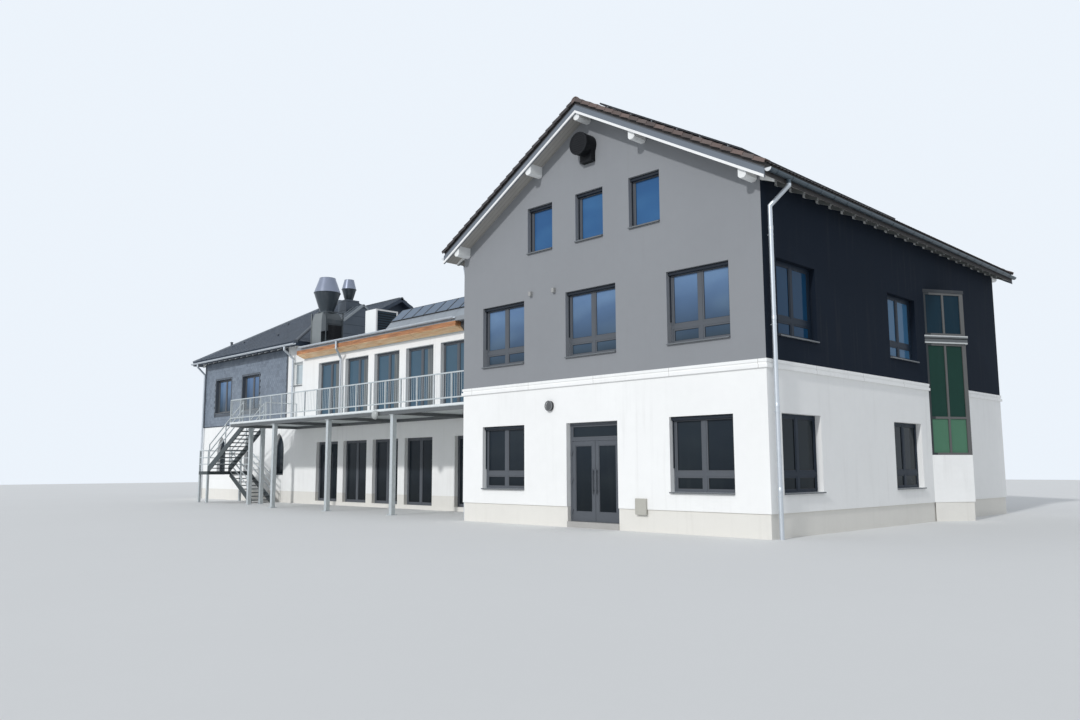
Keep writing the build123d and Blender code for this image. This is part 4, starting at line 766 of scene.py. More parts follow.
def edge_bars(shape, low, high, width, near, far, chamfer=0.002, inset=0.0):
    """Four bars inside a pane's edge, from near to far before its outer face."""
    thin = 0 if high[0] - low[0] < high[1] - low[1] else 1
    wide = 1 - thin
    middle = (low + high) / 2
    out = (1 if middle[0] > -13 else -1) if thin == 0 else (1 if middle[1] > 1 else -1)
    face = high[thin] if out > 0 else low[thin]
    left, right = low[wide] + inset, high[wide] - inset
    bottom, top = low[2] + inset, high[2] - inset
    for a, b, c, d in ((left, left + width, bottom, top), (right - width, right, bottom, top),
                       (left + width, right - width, bottom, bottom + width),
                       (left + width, right - width, top - width, top)):
        one, other = [0, 0, c], [0, 0, d]
        one[wide], other[wide] = a, b
        one[thin], other[thin] = face + out * near, face + out * far
        shape.board(one, other, chamfer)


SMALLEST_PANE = 0.2
sashes, gaskets = Shape(), Shape()
for name in ("main_window_glass", "wing_and_end_window_glass"):
    for low, high, corners in panes_of(name):
        wide, deep, tall = high - low
        if corners == 8 and min(tall, max(wide, deep)) > SMALLEST_PANE:
            edge_bars(sashes, low, high, 0.042, 0.002, 0.018)
            edge_bars(gaskets, low, high, 0.008, 0.001, 0.010, 0.001, 0.041)
fixed("window_sashes", sashes, frame_metal, "window_frame")
fixed("window_gaskets", gaskets, finish(
    "gasket", (0.012, 0.012, 0.013), 0.6, patches=(0.2, 0.1), streaks=0.0), "window_frame")


# The roller shutter boxes: folded aluminium over each front window, with the two side rails
# that the shutter runs in. They are painted near black, as the painted shade under the
# window heads.
BOX_DEEP, BOX_HIGH, RAIL_WIDE, RAIL_DEEP, RAIL_DROP = 0.085, 0.085, 0.028, 0.035, 1.2
boxes = Shape()
front = min(low[1] for low, high, corners in panes_of("main_window_glass")) - 0.02
for places, head, half in (((-3.35, 3.35), 2.70, 0.875), ((-3.35, 0.0, 3.35), 6.175, 0.875),
                           ((-1.84, 0.0, 1.84), 8.785, 0.485)):
    for x in places:
        boxes.board((x - half, front - BOX_DEEP, head - BOX_HIGH), (x + half, front, head), 0.006)
        for side in (-1, 1):
            boxes.board((x + side * half, front - RAIL_DEEP, head - RAIL_DROP),
                        (x + side * (half - RAIL_WIDE), front, head - BOX_HIGH), 0.002)
# The near-black colour of the boxes is painted shade.
fixed("shutter_boxes", boxes, finish(
    "shutter_box_shade", (0.020, 0.026, 0.036), 0.5, Specular_IOR_Level=0.2), "window_frame")


# The glazing beads of the front door: thin aluminium strips clipped round the pane of each
# leaf, which swing with it.
for leaf in ("left", "right"):
    beads = Shape()
    for low, high, corners in panes_of("door_glass_" + leaf):
        edge_bars(beads, low, high, 0.020, 0.002, 0.012)
    fixed("door_beads_" + leaf, beads, frame_metal, "window_frame", "door_leaf_" + leaf)


# The window sills: folded aluminium sheet that slopes outwards and drips clear of the wall.
# Its top is painted light, as light from the sky, and its edges and underside are painted
# dark, as painted shade. The parapet crown and the panel rails use the same sheet.
sill_metal = finish("sill_sheet", split((0.16, 0.17, 0.18), (0.66, 0.68, 0.70), 0.3,
                                        looking=True), 0.45, metallic=0.4,
                    soil=(0.2, 0.2, 0.19), patches=(0.3, 0.12), streaks=0.3,
                    grained=(0.02, 0.0004))
dress(sill_metal, "window_sills")


# The stair bay: a prow of steel posts and green glass on a rendered foot, with a light
# ledge at mid height.
BAY_FOOT, BAY_BEAM, BAY_LEDGE, LEDGE_HALF, LEDGE_TOP, PROW_FRONT = (
    1.9, 2.87, 5.155, 0.078, 5.28, 1.55)


def bay_paint(nodes):
    height = nodes.part(2)
    edges = nodes.above(nodes.span(nodes.calc("SUBTRACT", height, BAY_LEDGE)), LEDGE_HALF)
    ledge = nodes.blend(edges, (0.11, 0.12, 0.125), (0.52, 0.54, 0.54))
    upper = nodes.blend(nodes.below(height, LEDGE_TOP), (0.035, 0.040, 0.046), ledge)
    return nodes.blend(nodes.above(height, BAY_FOOT), ground_floor_paint(nodes), upper)


def bay_pane_colour(nodes):
    # Below the beam the panes are painted a lighter green: painted reflection.
    green = split((0.075, 0.180, 0.115), (0.012, 0.044, 0.034), BAY_BEAM)(nodes)
    return split(green, (0.008, 0.028, 0.045), 5.1)(nodes)


dress(finish("bay_render", bay_paint, 0.7, patches=(0.8, 0.1), streaks=0.2), "stair_bay_shell")
# The bay frame is painted dark on the part nearer the front, as painted shade.
dress(finish("bay_frame", split((0.020, 0.026, 0.030), (0.105, 0.106, 0.104), PROW_FRONT, 1),
             0.42, metallic=0.2, soil=(0.18, 0.18, 0.17), patches=(0.4, 0.10), streaks=0.15,
             grained=(0.003, 0.0001)), "stair_bay_frame")
dress(finish("bay_glass", bay_pane_colour, 0.05, patches=(1.0, 0.15), streaks=0.05,
             **pane_look), "stair_bay_glass")


# The drum in the gable: a round black sheet cover, fixed on brackets over the attic vent,
# with a rolled rim and slanted slats.
black = finish("black_sheet", (0.008, 0.009, 0.011), 0.5, Specular_IOR_Level=0.2,
               soil=(0.1, 0.1, 0.1), patches=(0.3, 0.15), streaks=0.2, grained=(0.01, 0.0003))
dress(black, "wall_drum")
DRUM_Z, DRUM_FACE, DRUM_R = 9.9755, -7.665, 0.30


def slats_within(shape, centre, radius, reach, step, near, low, high, chamfer):
    """Level slats over a round mouth, each as wide as the circle is there."""
    x, face, z = centre
    for n in range(2 * round(reach / step) + 1):
        off = n * step - reach
        half = sqrt(max(0.0, radius ** 2 - off ** 2))
        shape.board((x - half, face + near, z + off + low), (x + half, face, z + off + high),
                    chamfer)


drum = Shape().turned(
    [(DRUM_R - 0.030, 0.0), (DRUM_R + 0.006, 0.0), (DRUM_R + 0.010, 0.006),
     (DRUM_R + 0.006, 0.030), (DRUM_R - 0.030, 0.030)], 40,
    to_front(0, DRUM_FACE + 0.018, DRUM_Z), hollow=True)
slats_within(drum, (0.0, DRUM_FACE + 0.004, DRUM_Z), DRUM_R - 0.03, 0.24, 0.06, -0.012, -0.018,
             0.010, 0.002)
fixed("drum_louvre", drum, black, "black_metal", smooth=35, outwards=True)


# The small fittings on the front: a round cast grille over a vent, a meter box and lamps,
# screwed to the render.
def fitting_colour(nodes):
    dark = split((0.045, 0.046, 0.048), (0.34, 0.34, 0.33), 5.0)(nodes)
    return split(dark, (0.46, 0.45, 0.40), 1.2, 0)(nodes)


dress(finish("fittings", fitting_colour, 0.55, patches=(0.3, 0.12), streaks=0.2,
             grained=(0.01, 0.0003)), "wall_fittings")
VENT_X, VENT_FACE, VENT_Z, VENT_R = -1.462, -7.350, 3.168, 0.136
vent = Shape().ring(VENT_R - 0.02, VENT_R + 0.004, 0.0, 0.016, 32,
                    to_front(VENT_X, VENT_FACE + 0.005, VENT_Z))
slats_within(vent, (VENT_X, VENT_FACE, VENT_Z), VENT_R - 0.022, 0.09, 0.03, -0.012, -0.010,
             0.006, 0.001)
fixed("vent_louvre", vent, finish("cast_grille", (0.20, 0.205, 0.21), 0.5, metallic=0.3,
                                  patches=(0.1, 0.2)), "black_metal", smooth=35, outwards=True)


# The wing: white rendered walls, a flat membrane roof with welded seams, and a sloping
# parapet of standing-seam zinc that carries solar panels.
APRON_LEFT, APRON_STEP = -13.637, 0.7197


def apron_height(nodes):
    edge = nodes.calc("PINGPONG", nodes.calc("SUBTRACT", nodes.part(0), APRON_LEFT),
                      APRON_STEP / 2)
    return nodes.times(nodes.spread(edge, 0.0, 0.02, 1.0, 0.0), 0.02)


dress(finish("wing_render", painted(WHITE_PAINT, WHITE_PAINT), 0.86, patches=(2.0, 0.06),
             streaks=0.12), "wing_front_wall", "wing_rear_wall")
dress(finish("roof_membrane", jointed((0.27, 0.29, 0.31), (0.20, 0.22, 0.24), 0.525, 0.02, 0),
             0.8, patches=(1.2, 0.2), streaks=0.1, grained=(0.03, 0.0015)), "wing_roof")
dress(finish("parapet_sheet", (0.30, 0.33, 0.36), 0.45, metallic=0.5, soil=(0.2, 0.2, 0.2),
             patches=(0.4, 0.15), streaks=0.25, relief=apron_height), "wing_parapet")
crown = Shape().board((-13.65, -3.445, 7.836), (-5.71, -3.235, 7.852), 0.004)
fixed("parapet_crown", crown, sill_metal, "zinc")


# The solar panels: blue cells under glass in dark aluminium frames, clamped on rails over
# the tiles of the right slope and laid on the wing's parapet.
CELL = 0.156


def cell_colour(nodes):
    x, y, z = nodes.xyz()
    on_roof = nodes.above(x, 0.0)
    first = nodes.put("Mix", {0: on_roof, 2: x, 3: y})
    second = nodes.put("Mix", {0: on_roof, 2: nodes.times(y, 1.3687), 3: nodes.times(x, RUN)})
    lines = nodes.calc("MAXIMUM", *(nodes.joint(value, CELL / 2, 0.002)
                                    for value in (first, second)))
    cell = nodes.blend(on_roof, (0.080, 0.125, 0.190), (0.016, 0.032, 0.070))
    return nodes.blend(lines, cell, (0.11, 0.15, 0.20))


solar_glass = finish("solar_cells", cell_colour, 0.16, soil=(0.1, 0.1, 0.1),
                     patches=(0.8, 0.15), streaks=0.05, grained=(0.5, 0.0004),
                     Specular_IOR_Level=0.10)
dress(solar_glass, "solar_panels")
PANEL_TOP, PANEL_SIDE, PANEL_RAISED, FRAME_WIDE = 0.55, 0.32, 0.150, 0.022
frames, cells, rails = Shape(), Shape(), Shape()


def panel(place, wide, high, top):
    """One panel on its bed: four frame bars round a sheet of cells."""
    bar = FRAME_WIDE
    for low, up in (((0, 0), (wide, bar)), ((0, high - bar), (wide, high)),
                    ((0, bar), (bar, high - bar)), ((wide - bar, bar), (wide, high - bar))):
        frames.board((*low, top - 0.040), (*up, top), 0.002, place)
    cells.board((bar - 0.004, bar - 0.004, top - 0.034),
                (wide - bar + 0.004, high - bar + 0.004, top - 0.004), 0.001, place)


slope_place = Matrix(((DOWN, 0, RISE, 0), (0, 1, 0, ROOF_FRONT), (-RISE, 0, DOWN, RIDGE),
                      (0, 0, 0, 1)))
PANEL_LONG, PANEL_WIDE, PANEL_GAP = 1.60, 0.99, 0.015
for column in range(3):
    left = PANEL_TOP + column * (PANEL_LONG + PANEL_GAP)
    for row in range(8):
        panel(slope_place @ Matrix.Translation((
            left, PANEL_SIDE + row * (PANEL_WIDE + PANEL_GAP), 0)), PANEL_LONG, PANEL_WIDE,
            PANEL_RAISED)
    for reach in (left + 0.35, left + 1.22):
        rails.board((reach, PANEL_SIDE - 0.04, 0.074), (reach + 0.04, PANEL_SIDE + 8.065, 0.110),
                    0.002, slope_place)
        for n in range(6):
            y = PANEL_SIDE + 0.30 + n * 1.45
            for near, far, low, high in ((-0.10, 0.03, 0.0, 0.012), (0.018, 0.030, 0.012, 0.076)):
                rails.board((reach + near, y, low), (reach + far, y + 0.035, high), 0.002,
                            slope_place)
lean = Vector((0.594, 0.555))
cosine, sine = lean.normalized()
for n in range(11):
    apron = Matrix(((1, 0, 0, APRON_LEFT + n * APRON_STEP + 0.015), (0, cosine, -sine, -4.024),
                    (0, sine, cosine, 7.287), (0, 0, 0, 1)))
    panel(apron @ Matrix.Translation((0, 0.015, 0)), 0.6897, lean.length - 0.03, 0.043)
fixed("panel_frames", frames, finish(
    "panel_frame", (0.030, 0.033, 0.038), 0.45, metallic=0.3, patches=(0.3, 0.08), streaks=0.1,
    grained=(0.01, 0.0002)), "solar_cell")
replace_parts(fixed("panel_cells", cells, solar_glass, "solar_cell"), "solar_panels")
fixed("panel_rails", rails, sill_metal, "solar_cell")


# The eaves of the wing: larch boards nailed under the zinc edge, the lower one bright, the
# upper one painted dark as the shade under the zinc edge, and a grey length where the wing
# meets the main block.
LOWER_BOARD, UPPER_BOARD, BOARD_LENGTH, GREY_BOARDS = 6.475, 6.625, 4.0, -9.206


def board_colour(nodes):
    x, z = nodes.part(0), nodes.part(2)
    fibre = nodes.spread(nodes.cloud(nodes.stretched(nodes.place(), (0.5, 6.0, 14.0)), 0.35, 5.0),
                         0.32, 0.68)
    low, high, grey = (nodes.blend(fibre, *pair) for pair in (
        ((0.80, 0.42, 0.16), (1.0, 0.76, 0.50)), ((0.20, 0.080, 0.035), (0.62, 0.28, 0.12)),
        ((0.05, 0.055, 0.06), (0.12, 0.125, 0.13))))
    # The upper board is painted dark: painted shade under the zinc edge.
    timber = nodes.blend(nodes.above(z, UPPER_BOARD), low, high)
    timber = nodes.blend(nodes.above(z, LOWER_BOARD), (0.50, 0.50, 0.48), timber)
    cut = nodes.blend(nodes.joint(x, BOARD_LENGTH / 2, 0.006), timber, (0.05, 0.03, 0.02))
    return nodes.blend(nodes.above(x, GREY_BOARDS), cut, grey)


dress(finish("larch_boards", board_colour, 0.6, soil=(0.12, 0.08, 0.05), patches=(0.5, 0.18),
             streaks=0.15, relief=wood_height(0.03, 0.0015, (0.3, 4, 8))),
      "wing_eaves_boards")


# The gallery: a galvanised steel deck on posts with plates at foot and head, flat railing
# frames with round bars between their rails, and grating planks on top.
GALLERY_LEFT, GALLERY_RIGHT, GALLERY_FRONT, DECK = -21.165, -5.10, -7.025, 3.51
galvanised = finish("galvanised", (0.58, 0.62, 0.63), 0.48, metallic=0.45,
                    soil=(0.28, 0.28, 0.27), patches=(0.12, 0.22), streaks=0.2,
                    grained=(0.03, 0.0004))
# Below its top edge the deck is painted dark, as painted shade under it.
dress(finish("gallery_steel", split((0.13, 0.14, 0.145), (0.60, 0.64, 0.64), DECK - 0.085),
             0.5, metallic=0.3, patches=(0.2, 0.15), streaks=0.25, grained=(0.03, 0.0004)),
      "gallery_deck")
dress(galvanised, "gallery_railing", "stair_railing", "gallery_and_stair_posts")
railing_bar = Shape().turned([(0.006, 0.0), (0.006, 0.758)], 6)
lay("railing_bars", railing_bar.mesh("bar", 40), galvanised, "galvanised", [
    {"Start": (GALLERY_LEFT + 0.02, GALLERY_FRONT + 0.02, DECK + 0.198),
     "Along": (0.1107, 0.0, 0.0), "Columns": 145}])
plank = Shape().board((-0.098, 0.0, 0.0), (0.098, 3.10, 0.012))
lay("deck_gratings", plank.mesh("plank"), galvanised, "galvanised", [
    {"Start": (GALLERY_LEFT + 0.12, GALLERY_FRONT + 0.03, DECK), "Along": (0.2005, 0.0, 0.0),
     "Columns": 79}])
POST_Y, FOOT_HALF, HEAD_HALF, HEAD_Z = -6.92, 0.13, 0.11, 3.295
feet = Shape()
for x in (-9.195, -13.265, -17.335):
    for half, low, high in ((FOOT_HALF, 0.0, 0.018), (HEAD_HALF, HEAD_Z, HEAD_Z + 0.017)):
        feet.board((x - half, POST_Y - half, low), (x + half, POST_Y + half, high))
    for dx, dy in product((-0.1, 0.1), repeat=2):
        feet.turned([(0.013, 0.018), (0.013, 0.032), (0.007, 0.033), (0.007, 0.05)], 6,
                    Matrix.Translation((x + dx, POST_Y + dy, 0)))
fixed("post_feet", feet, galvanised, "galvanised")


# The gallery's edging and lamp: a bright galvanised angle along the front and the left end
# of the deck, and a round opal lamp screwed on under it.
edging = Shape()
for far, near, back in ((-0.008, GALLERY_RIGHT, GALLERY_FRONT + 0.004),
                        (0.004, GALLERY_LEFT + 0.004, -3.885)):
    edging.board((GALLERY_LEFT - 0.006, GALLERY_FRONT + far, 3.448), (near, back, 3.514), 0.002)
fixed("deck_edging", edging, finish(
    "bright_galvanised", (0.80, 0.83, 0.83), 0.4, metallic=0.2, patches=(0.15, 0.12),
    streaks=0.2, grained=(0.03, 0.0003)), "galvanised")
lamp = Shape().turned([(0.04, -0.004), (0.14, -0.004), (0.155, 0.010), (0.155, 0.045),
                       (0.145, 0.075), (0.11, 0.105), (0.03, 0.12)], 32,
                      to_front(-10.08, GALLERY_FRONT, 3.335))
fixed("gallery_lamp", lamp, finish(
    "lamp_glass", (0.42, 0.44, 0.43), 0.3, patches=(0.1, 0.05), streaks=0.05), "white_metal",
    smooth=40, outwards=True)


# The outside stair: two welded steel flights with open treads of grating and a landing.
# The tops of the treads are painted light, as light falling from above, and every other
# face is painted dark, as painted shade.
dress(finish("stair_steel", split((0.060, 0.075, 0.080), (0.46, 0.49, 0.50), 0.7, looking=True),
             0.5, metallic=0.3, patches=(0.3, 0.15), streaks=0.2, grained=(0.02, 0.0004)),
      "stair_upper_flight", "stair_lower_flight", "stair_landing")


# The end block: masonry rendered white below and boarded for slates above, under a hipped
# roof with a cross gable over the wing. Its rafters end in white painted tails.
BOARDS_FROM, SLATES_END = 3.70, -22.1


def end_wall_colour(nodes):
    slated = nodes.times(nodes.above(nodes.part(2), BOARDS_FROM),
                         nodes.calc("SUBTRACT", 1.0, nodes.above(nodes.part(0), SLATES_END)))
    return nodes.blend(slated, ground_floor_paint(nodes), (0.085, 0.100, 0.120))


dress(finish("end_render", end_wall_colour, 0.86, patches=(1.6, 0.09), streaks=0.2),
      "end_front_wall", "end_rear_wall", "end_left_wall", "end_right_wall")
dress(finish("rafter_paint", (0.70, 0.71, 0.70), 0.55, patches=(0.4, 0.1), streaks=0.3),
      "end_rafter_ends")


# The roof slates: dark split stone, nailed in rows with broken joints on the hipped roof
# and the cross gable, with clipped lower corners. Geometry nodes lay the rows.
slate_look = {"soil": (0.16, 0.17, 0.15), "patches": (0.25, 0.2), "streaks": 0.15,
              "grained": (0.02, 0.0012)}
slate_stone = finish("roof_slate", each_differs((0.027, 0.041, 0.062), (0.034, 0.050, 0.076),
                                                (0.023, 0.035, 0.054)), 0.55,
                     Specular_IOR_Level=0.3, **slate_look)
dress(finish("slate_bed", (0.032, 0.049, 0.076), 0.6, **slate_look), "end_roof",
      "end_cross_roof", "end_cross_gable")
SLATE_WIDE, SLATE_GAUGE = 0.30, 0.21
END_LEFT, END_RIGHT, END_FRONT, END_BACK = -31.535, -20.485, -4.39, 7.79
END_EAVES, END_RIDGE, END_SLOPE, HIP_Y = 7.277, 10.619, 0.605, (1.135, 2.265)


def slate_piece(wide, gauge, lift):
    half = wide / 2 - 0.003
    clip = wide * 0.16
    shape = Shape().prism([(-half, -gauge - 0.03), (half, -gauge - 0.03), (half, -clip),
                           (half - clip, 0), (clip - half, 0), (-half, -clip)], 0.0, 0.006)
    for corner in shape.corners:
        corner.z += lift * (1 + corner.y / gauge)
    return shape.mesh("slate", outwards=True)


def slope_part(low_left, low_right, area, whole=False):
    """Rows of slates from the eaves up, trimmed to the outline of one slope."""
    across = (low_right - low_left).normalized()
    normal = across.cross(area[2] - low_left).normalized()
    normal *= 1 if normal.z > 0 else -1
    up = normal.cross(across).normalized()
    up *= 1 if up.z > 0 else -1
    sideways = across if up.cross(across).dot(normal) > 0 else -across
    length = max((corner - low_left).dot(up) for corner in area)
    centre = (low_left + low_right) / 2

    def inset(corner):
        aside = (corner - centre).dot(across)
        moved = corner - across * (0.19 if aside > 0.5 else -0.19 if aside < -0.5 else 0)
        return moved + up * (-0.2 if corner.z < 7.3 else -0.08)

    return {"Start": tuple(low_left - up * 0.04 + across * 0.08),
            "Along": tuple(across * SLATE_WIDE), "Up": tuple(up * SLATE_GAUGE), "Shift": 0.5,
            "Columns": int((low_right - low_left).length / SLATE_WIDE) + 1,
            "Rows": int(length / SLATE_GAUGE) + 1, "Turn": turn_of(sideways, -up),
            "Facing": tuple(-normal), "Looseness": 0.006,
            "Area": [[tuple(corner if whole else inset(corner)) for corner in area]]}


middle = (END_LEFT + END_RIGHT) / 2
roof_slate = slate_piece(SLATE_WIDE, SLATE_GAUGE, 0.008)
corners = [Vector((x, y, END_EAVES)) for x, y in (
    (END_LEFT, END_FRONT), (END_RIGHT, END_FRONT), (END_RIGHT, END_BACK), (END_LEFT, END_BACK))]
tops = [Vector((middle, y, END_RIDGE)) for y in HIP_Y]
lay("end_roof_slates", roof_slate, slate_stone, "slate", [
    slope_part(corners[a], corners[b], [corners[a], corners[b], *(tops[n] for n in ends)])
    for a, b, ends in ((0, 1, (0,)), (2, 3, (1,)), (3, 0, (0, 1)), (1, 2, (1, 0)))])
CROSS_Y, CROSS_HALF, CROSS_RIDGE, CROSS_OUT, CROSS_TAN = 1.135, 2.10, 9.925, -20.145, 0.57735
cross_eaves = CROSS_RIDGE - CROSS_HALF * CROSS_TAN
hidden = middle + (END_RIDGE - cross_eaves) / END_SLOPE
cross_top = Vector((middle + (END_RIDGE - CROSS_RIDGE) / END_SLOPE, CROSS_Y, CROSS_RIDGE))
cross_end = Vector((CROSS_OUT, CROSS_Y, CROSS_RIDGE))
cross = []
for side in (1, -1):
    edge = CROSS_Y + side * CROSS_HALF
    inner, outer = (Vector((x, edge, cross_eaves)) for x in (hidden, CROSS_OUT))
    cross.append(slope_part(Vector((cross_top.x, edge, cross_eaves)), outer,
                            [inner, outer, cross_end, cross_top], whole=True))
lay("cross_roof_slates", roof_slate, slate_stone, "slate", cross)


# The wall slates: smaller and lighter stone, nailed on boards over the upper storey, clear
# of the windows. Geometry nodes lay them on the four faces.
wall_stone = finish("wall_slate", each_differs((0.165, 0.200, 0.250), (0.205, 0.245, 0.300),
                                               (0.145, 0.175, 0.220)), 0.5, **slate_look)
WALL_SLATE, WALL_GAUGE, SLATES_FROM, SLATES_TO, STOREY_TOP = 0.20, 0.15, 3.75, 7.05, 7.10
OPENING_HALF, OPENING_LOW, OPENING_TOP = 0.875, 4.40, 6.175
# Each face: along x or y, the way it looks, its plane, its two ends and its windows.
SLATED_FACES = ((0, -1, -3.88, -31.025, SLATES_END, (-25.755, -28.785)),
                (0, 1, 7.28, -31.025, -20.536, (-28.785, -25.755, -22.725)),
                (1, -1, -31.025, -3.88, 7.28, (-1.1, 4.5)), (1, 1, -20.536, 5.32, 7.28, ()))


def on_face(axis, along, away, up):
    return (along, away, up) if axis == 0 else (away, along, up)


def wall_part(axis, out, plane, left, right, windows):
    """One slated face of the wall, clear of its windows."""
    across, facing = Vector(on_face(axis, 1, 0, 0)), Vector(on_face(axis, 0, -out, 0))
    sideways = across if across.cross(Vector((0, 0, 1))).dot(facing) > 0 else -across
    side, low, high = OPENING_HALF + 0.085, OPENING_LOW - 0.165, OPENING_TOP - 0.03
    return {"Start": on_face(axis, left + 0.10, plane + out * 0.008, SLATES_FROM),
            "Along": tuple(across * WALL_SLATE), "Up": (0.0, 0.0, WALL_GAUGE), "Shift": 0.5,
            "Columns": int((right - left - 0.05) / WALL_SLATE),
            "Rows": int((SLATES_TO - SLATES_FROM) / WALL_GAUGE),
            "Turn": turn_of(sideways, (0, 0, -1)), "Facing": tuple(facing), "Looseness": 0.005,
            "Openings": [[on_face(axis, s + edge, plane + out * 0.504, z) for edge, z in (
                (-side, low), (side, low), (side, high), (-side, high))] for s in windows]}


lay("wall_slates", slate_piece(WALL_SLATE, WALL_GAUGE, 0.007), wall_stone, "slate",
    [wall_part(*face) for face in SLATED_FACES])


# The lead work of the end block: folded strips round the windows and on the corners of the
# slated walls, nailed under the slates.
lead = finish("lead_flashing", (0.085, 0.100, 0.120), 0.5, metallic=0.4, patches=(0.3, 0.15),
              streaks=0.2, grained=(0.05, 0.001))
JAMB_OUT, STRIP_OUT, STRIP_WIDE = 0.026, 0.030, 0.085
jambs = Shape()
for axis, out, plane, left, right, windows in SLATED_FACES:
    for across, (one, other, low, high) in product(windows, (
            (-0.965, -0.875, 4.235, 6.235), (0.875, 0.965, 4.235, 6.235),
            (-0.875, 0.875, 6.175, 6.235), (-0.965, 0.965, 4.225, 4.355))):
        jambs.board(on_face(axis, across + one, plane, low),
                    on_face(axis, across + other, plane + out * JAMB_OUT, high), 0.002)
for x, y in ((-31.025, -3.88), (-31.025, 7.28), (SLATES_END, -3.88), (-20.536, 7.28)):
    out_x, out_y = (-1 if x < -25 else 1), (-1 if y < 0 else 1)
    jambs.board((x + out_x * STRIP_OUT, y + out_y * STRIP_OUT, 3.72),
                (x - out_x * STRIP_WIDE, y, STOREY_TOP))
    if x != SLATES_END:
        jambs.board((x, y, 3.72), (x + out_x * STRIP_OUT, y - out_y * STRIP_WIDE, STOREY_TOP))
fixed("slate_jambs", jambs, lead, "slate")


# The caps of the end roof: lead rolls dressed over the hips and ridges, a vent pipe through
# the front hip, and three snow guards screwed to the front slope.
flashings = Shape()
sunk = Vector((0, 0, 0.035))
for start, end in ((corners[0], tops[0]), (corners[1], tops[0]), (corners[2], tops[1]),
                   (corners[3], tops[1]), (tops[0], tops[1]), (cross_top, cross_end)):
    flashings.bar(start - sunk, end - sunk, 0.085, 14)
flashings.turned([(0.060, -0.10), (0.060, 0.16), (0.080, 0.165), (0.080, 0.20), (0.02, 0.23)],
                 16, Matrix.Translation(corners[0].lerp(tops[0], 0.26)))
for x, up in ((-28.6, 1.364), (-24.9, 1.364), (-26.9, 2.97)):
    run, height = END_FRONT + up, END_EAVES + up * END_SLOPE
    flashings.board((x - 0.06, run, height), (x + 0.06, run + 0.10, height + 0.11), 0.01)
fixed("hip_and_ridge_caps", flashings, lead, "slate", smooth=40)


# The air duct on the flat roof: folded sheet with standing seams on its corners and round
# its right side, where a louvre of black slats is set in.
def duct_colour(nodes):
    front = nodes.times(nodes.below(nodes.facing(1), -0.7), nodes.below(nodes.part(0), -19.2))
    return nodes.blend(front, (0.060, 0.072, 0.080), (0.215, 0.235, 0.240))


duct = finish("duct_sheet", duct_colour, 0.42, metallic=0.25, soil=(0.2, 0.2, 0.2),
              patches=(0.4, 0.15), streaks=0.2, grained=(0.05, 0.0006))
dress(duct, "roof_duct")
DUCT_LEFT, DUCT_RIGHT, DUCT_FRONT, DUCT_BACK, DUCT_TOP = -20.05, -18.815, -3.88, -3.03, 8.48
SEAM = 0.022
seams, louvre = Shape(), Shape()
for x, y in ((DUCT_LEFT, DUCT_FRONT), (DUCT_RIGHT, DUCT_FRONT), (DUCT_RIGHT, DUCT_BACK)):
    seams.board((x - SEAM, y - SEAM, 6.95), (x + SEAM, y + SEAM, DUCT_TOP + 0.012))
for z in (7.16, 7.95, DUCT_TOP - 0.02):
    seams.board((DUCT_RIGHT - 0.004, DUCT_FRONT + SEAM, z - 0.018),
                (DUCT_RIGHT + 0.024, DUCT_BACK - SEAM, z + 0.018))
louvre.board((DUCT_RIGHT - 0.004, DUCT_FRONT + 0.10, 7.22),
             (DUCT_RIGHT + 0.008, DUCT_BACK - 0.06, 7.88))
for n in range(8):
    z = 7.25 + n * 0.078
    louvre.board((DUCT_RIGHT + 0.004, DUCT_FRONT + 0.12, z),
                 (DUCT_RIGHT + 0.018, DUCT_BACK - 0.08, z + 0.03), 0.002)
fixed("duct_seams", seams, duct, "duct_metal")
fixed("duct_louvre", louvre, black, "duct_metal")


# The duct house: a small gabled house clad in dark sheet in courses, with verge strips and
# standing seams screwed on its two slopes.
dress(finish("house_cladding", jointed((0.090, 0.112, 0.140), (0.030, 0.038, 0.048), 0.21, 0.010),
             0.5, metallic=0.2, patches=(0.5, 0.2), streaks=0.15, grained=(0.03, 0.0006)),
      "roof_duct_house")
HOUSE_X, HOUSE_Y, HOUSE_MIDDLE = (-20.48, -18.723), (-3.03, -0.99), -2.01
HOUSE_EAVES, HOUSE_RIDGE = 8.157, 8.990
verges = Shape()
for x, y in product(HOUSE_X, HOUSE_Y):
    low, high = Vector((y, HOUSE_EAVES)), Vector((HOUSE_MIDDLE, HOUSE_RIDGE))
    side = (high - low).normalized()
    up = Vector((-side.y, side.x)) * (1 if side.x > 0 else -1)
    low -= side * 0.03
    verges.prism([low - up * 0.060, low + up * 0.022, high + up * 0.022, high - up * 0.060],
                 x - 0.022, x + 0.022,
                 Matrix(((0, 0, 1, 0), (1, 0, 0, 0), (0, 1, 0, 0), (0, 0, 0, 1))))
for n, y in product(range(5), HOUSE_Y):
    x = -20.32 + n * 0.36
    verges.bar((x, y, HOUSE_EAVES), (x, HOUSE_MIDDLE, HOUSE_RIDGE), 0.018, 6)
fixed("house_verges", verges, finish(
    "house_flashing", (0.30, 0.33, 0.35), 0.4, metallic=0.4, patches=(0.3, 0.15)),
    "duct_metal", outwards=True)


# The two exhaust hoods: spun sheet metal, swelling from a flanged neck to a rolled rim and
# tapering to the open mouth, bolted on the duct and on the house.
# Faces that look up are painted light, as painted reflection of the sky, and the rest dark, as
# painted shade.
hood_sheet = finish("hood_sheet", split((0.050, 0.064, 0.076), (0.250, 0.280, 0.360), 0.02,
                                        looking=True), 0.30, metallic=0.35,
                    soil=(0.2, 0.2, 0.2), patches=(0.4, 0.12), streaks=0.15,
                    grained=(0.05, 0.0004))


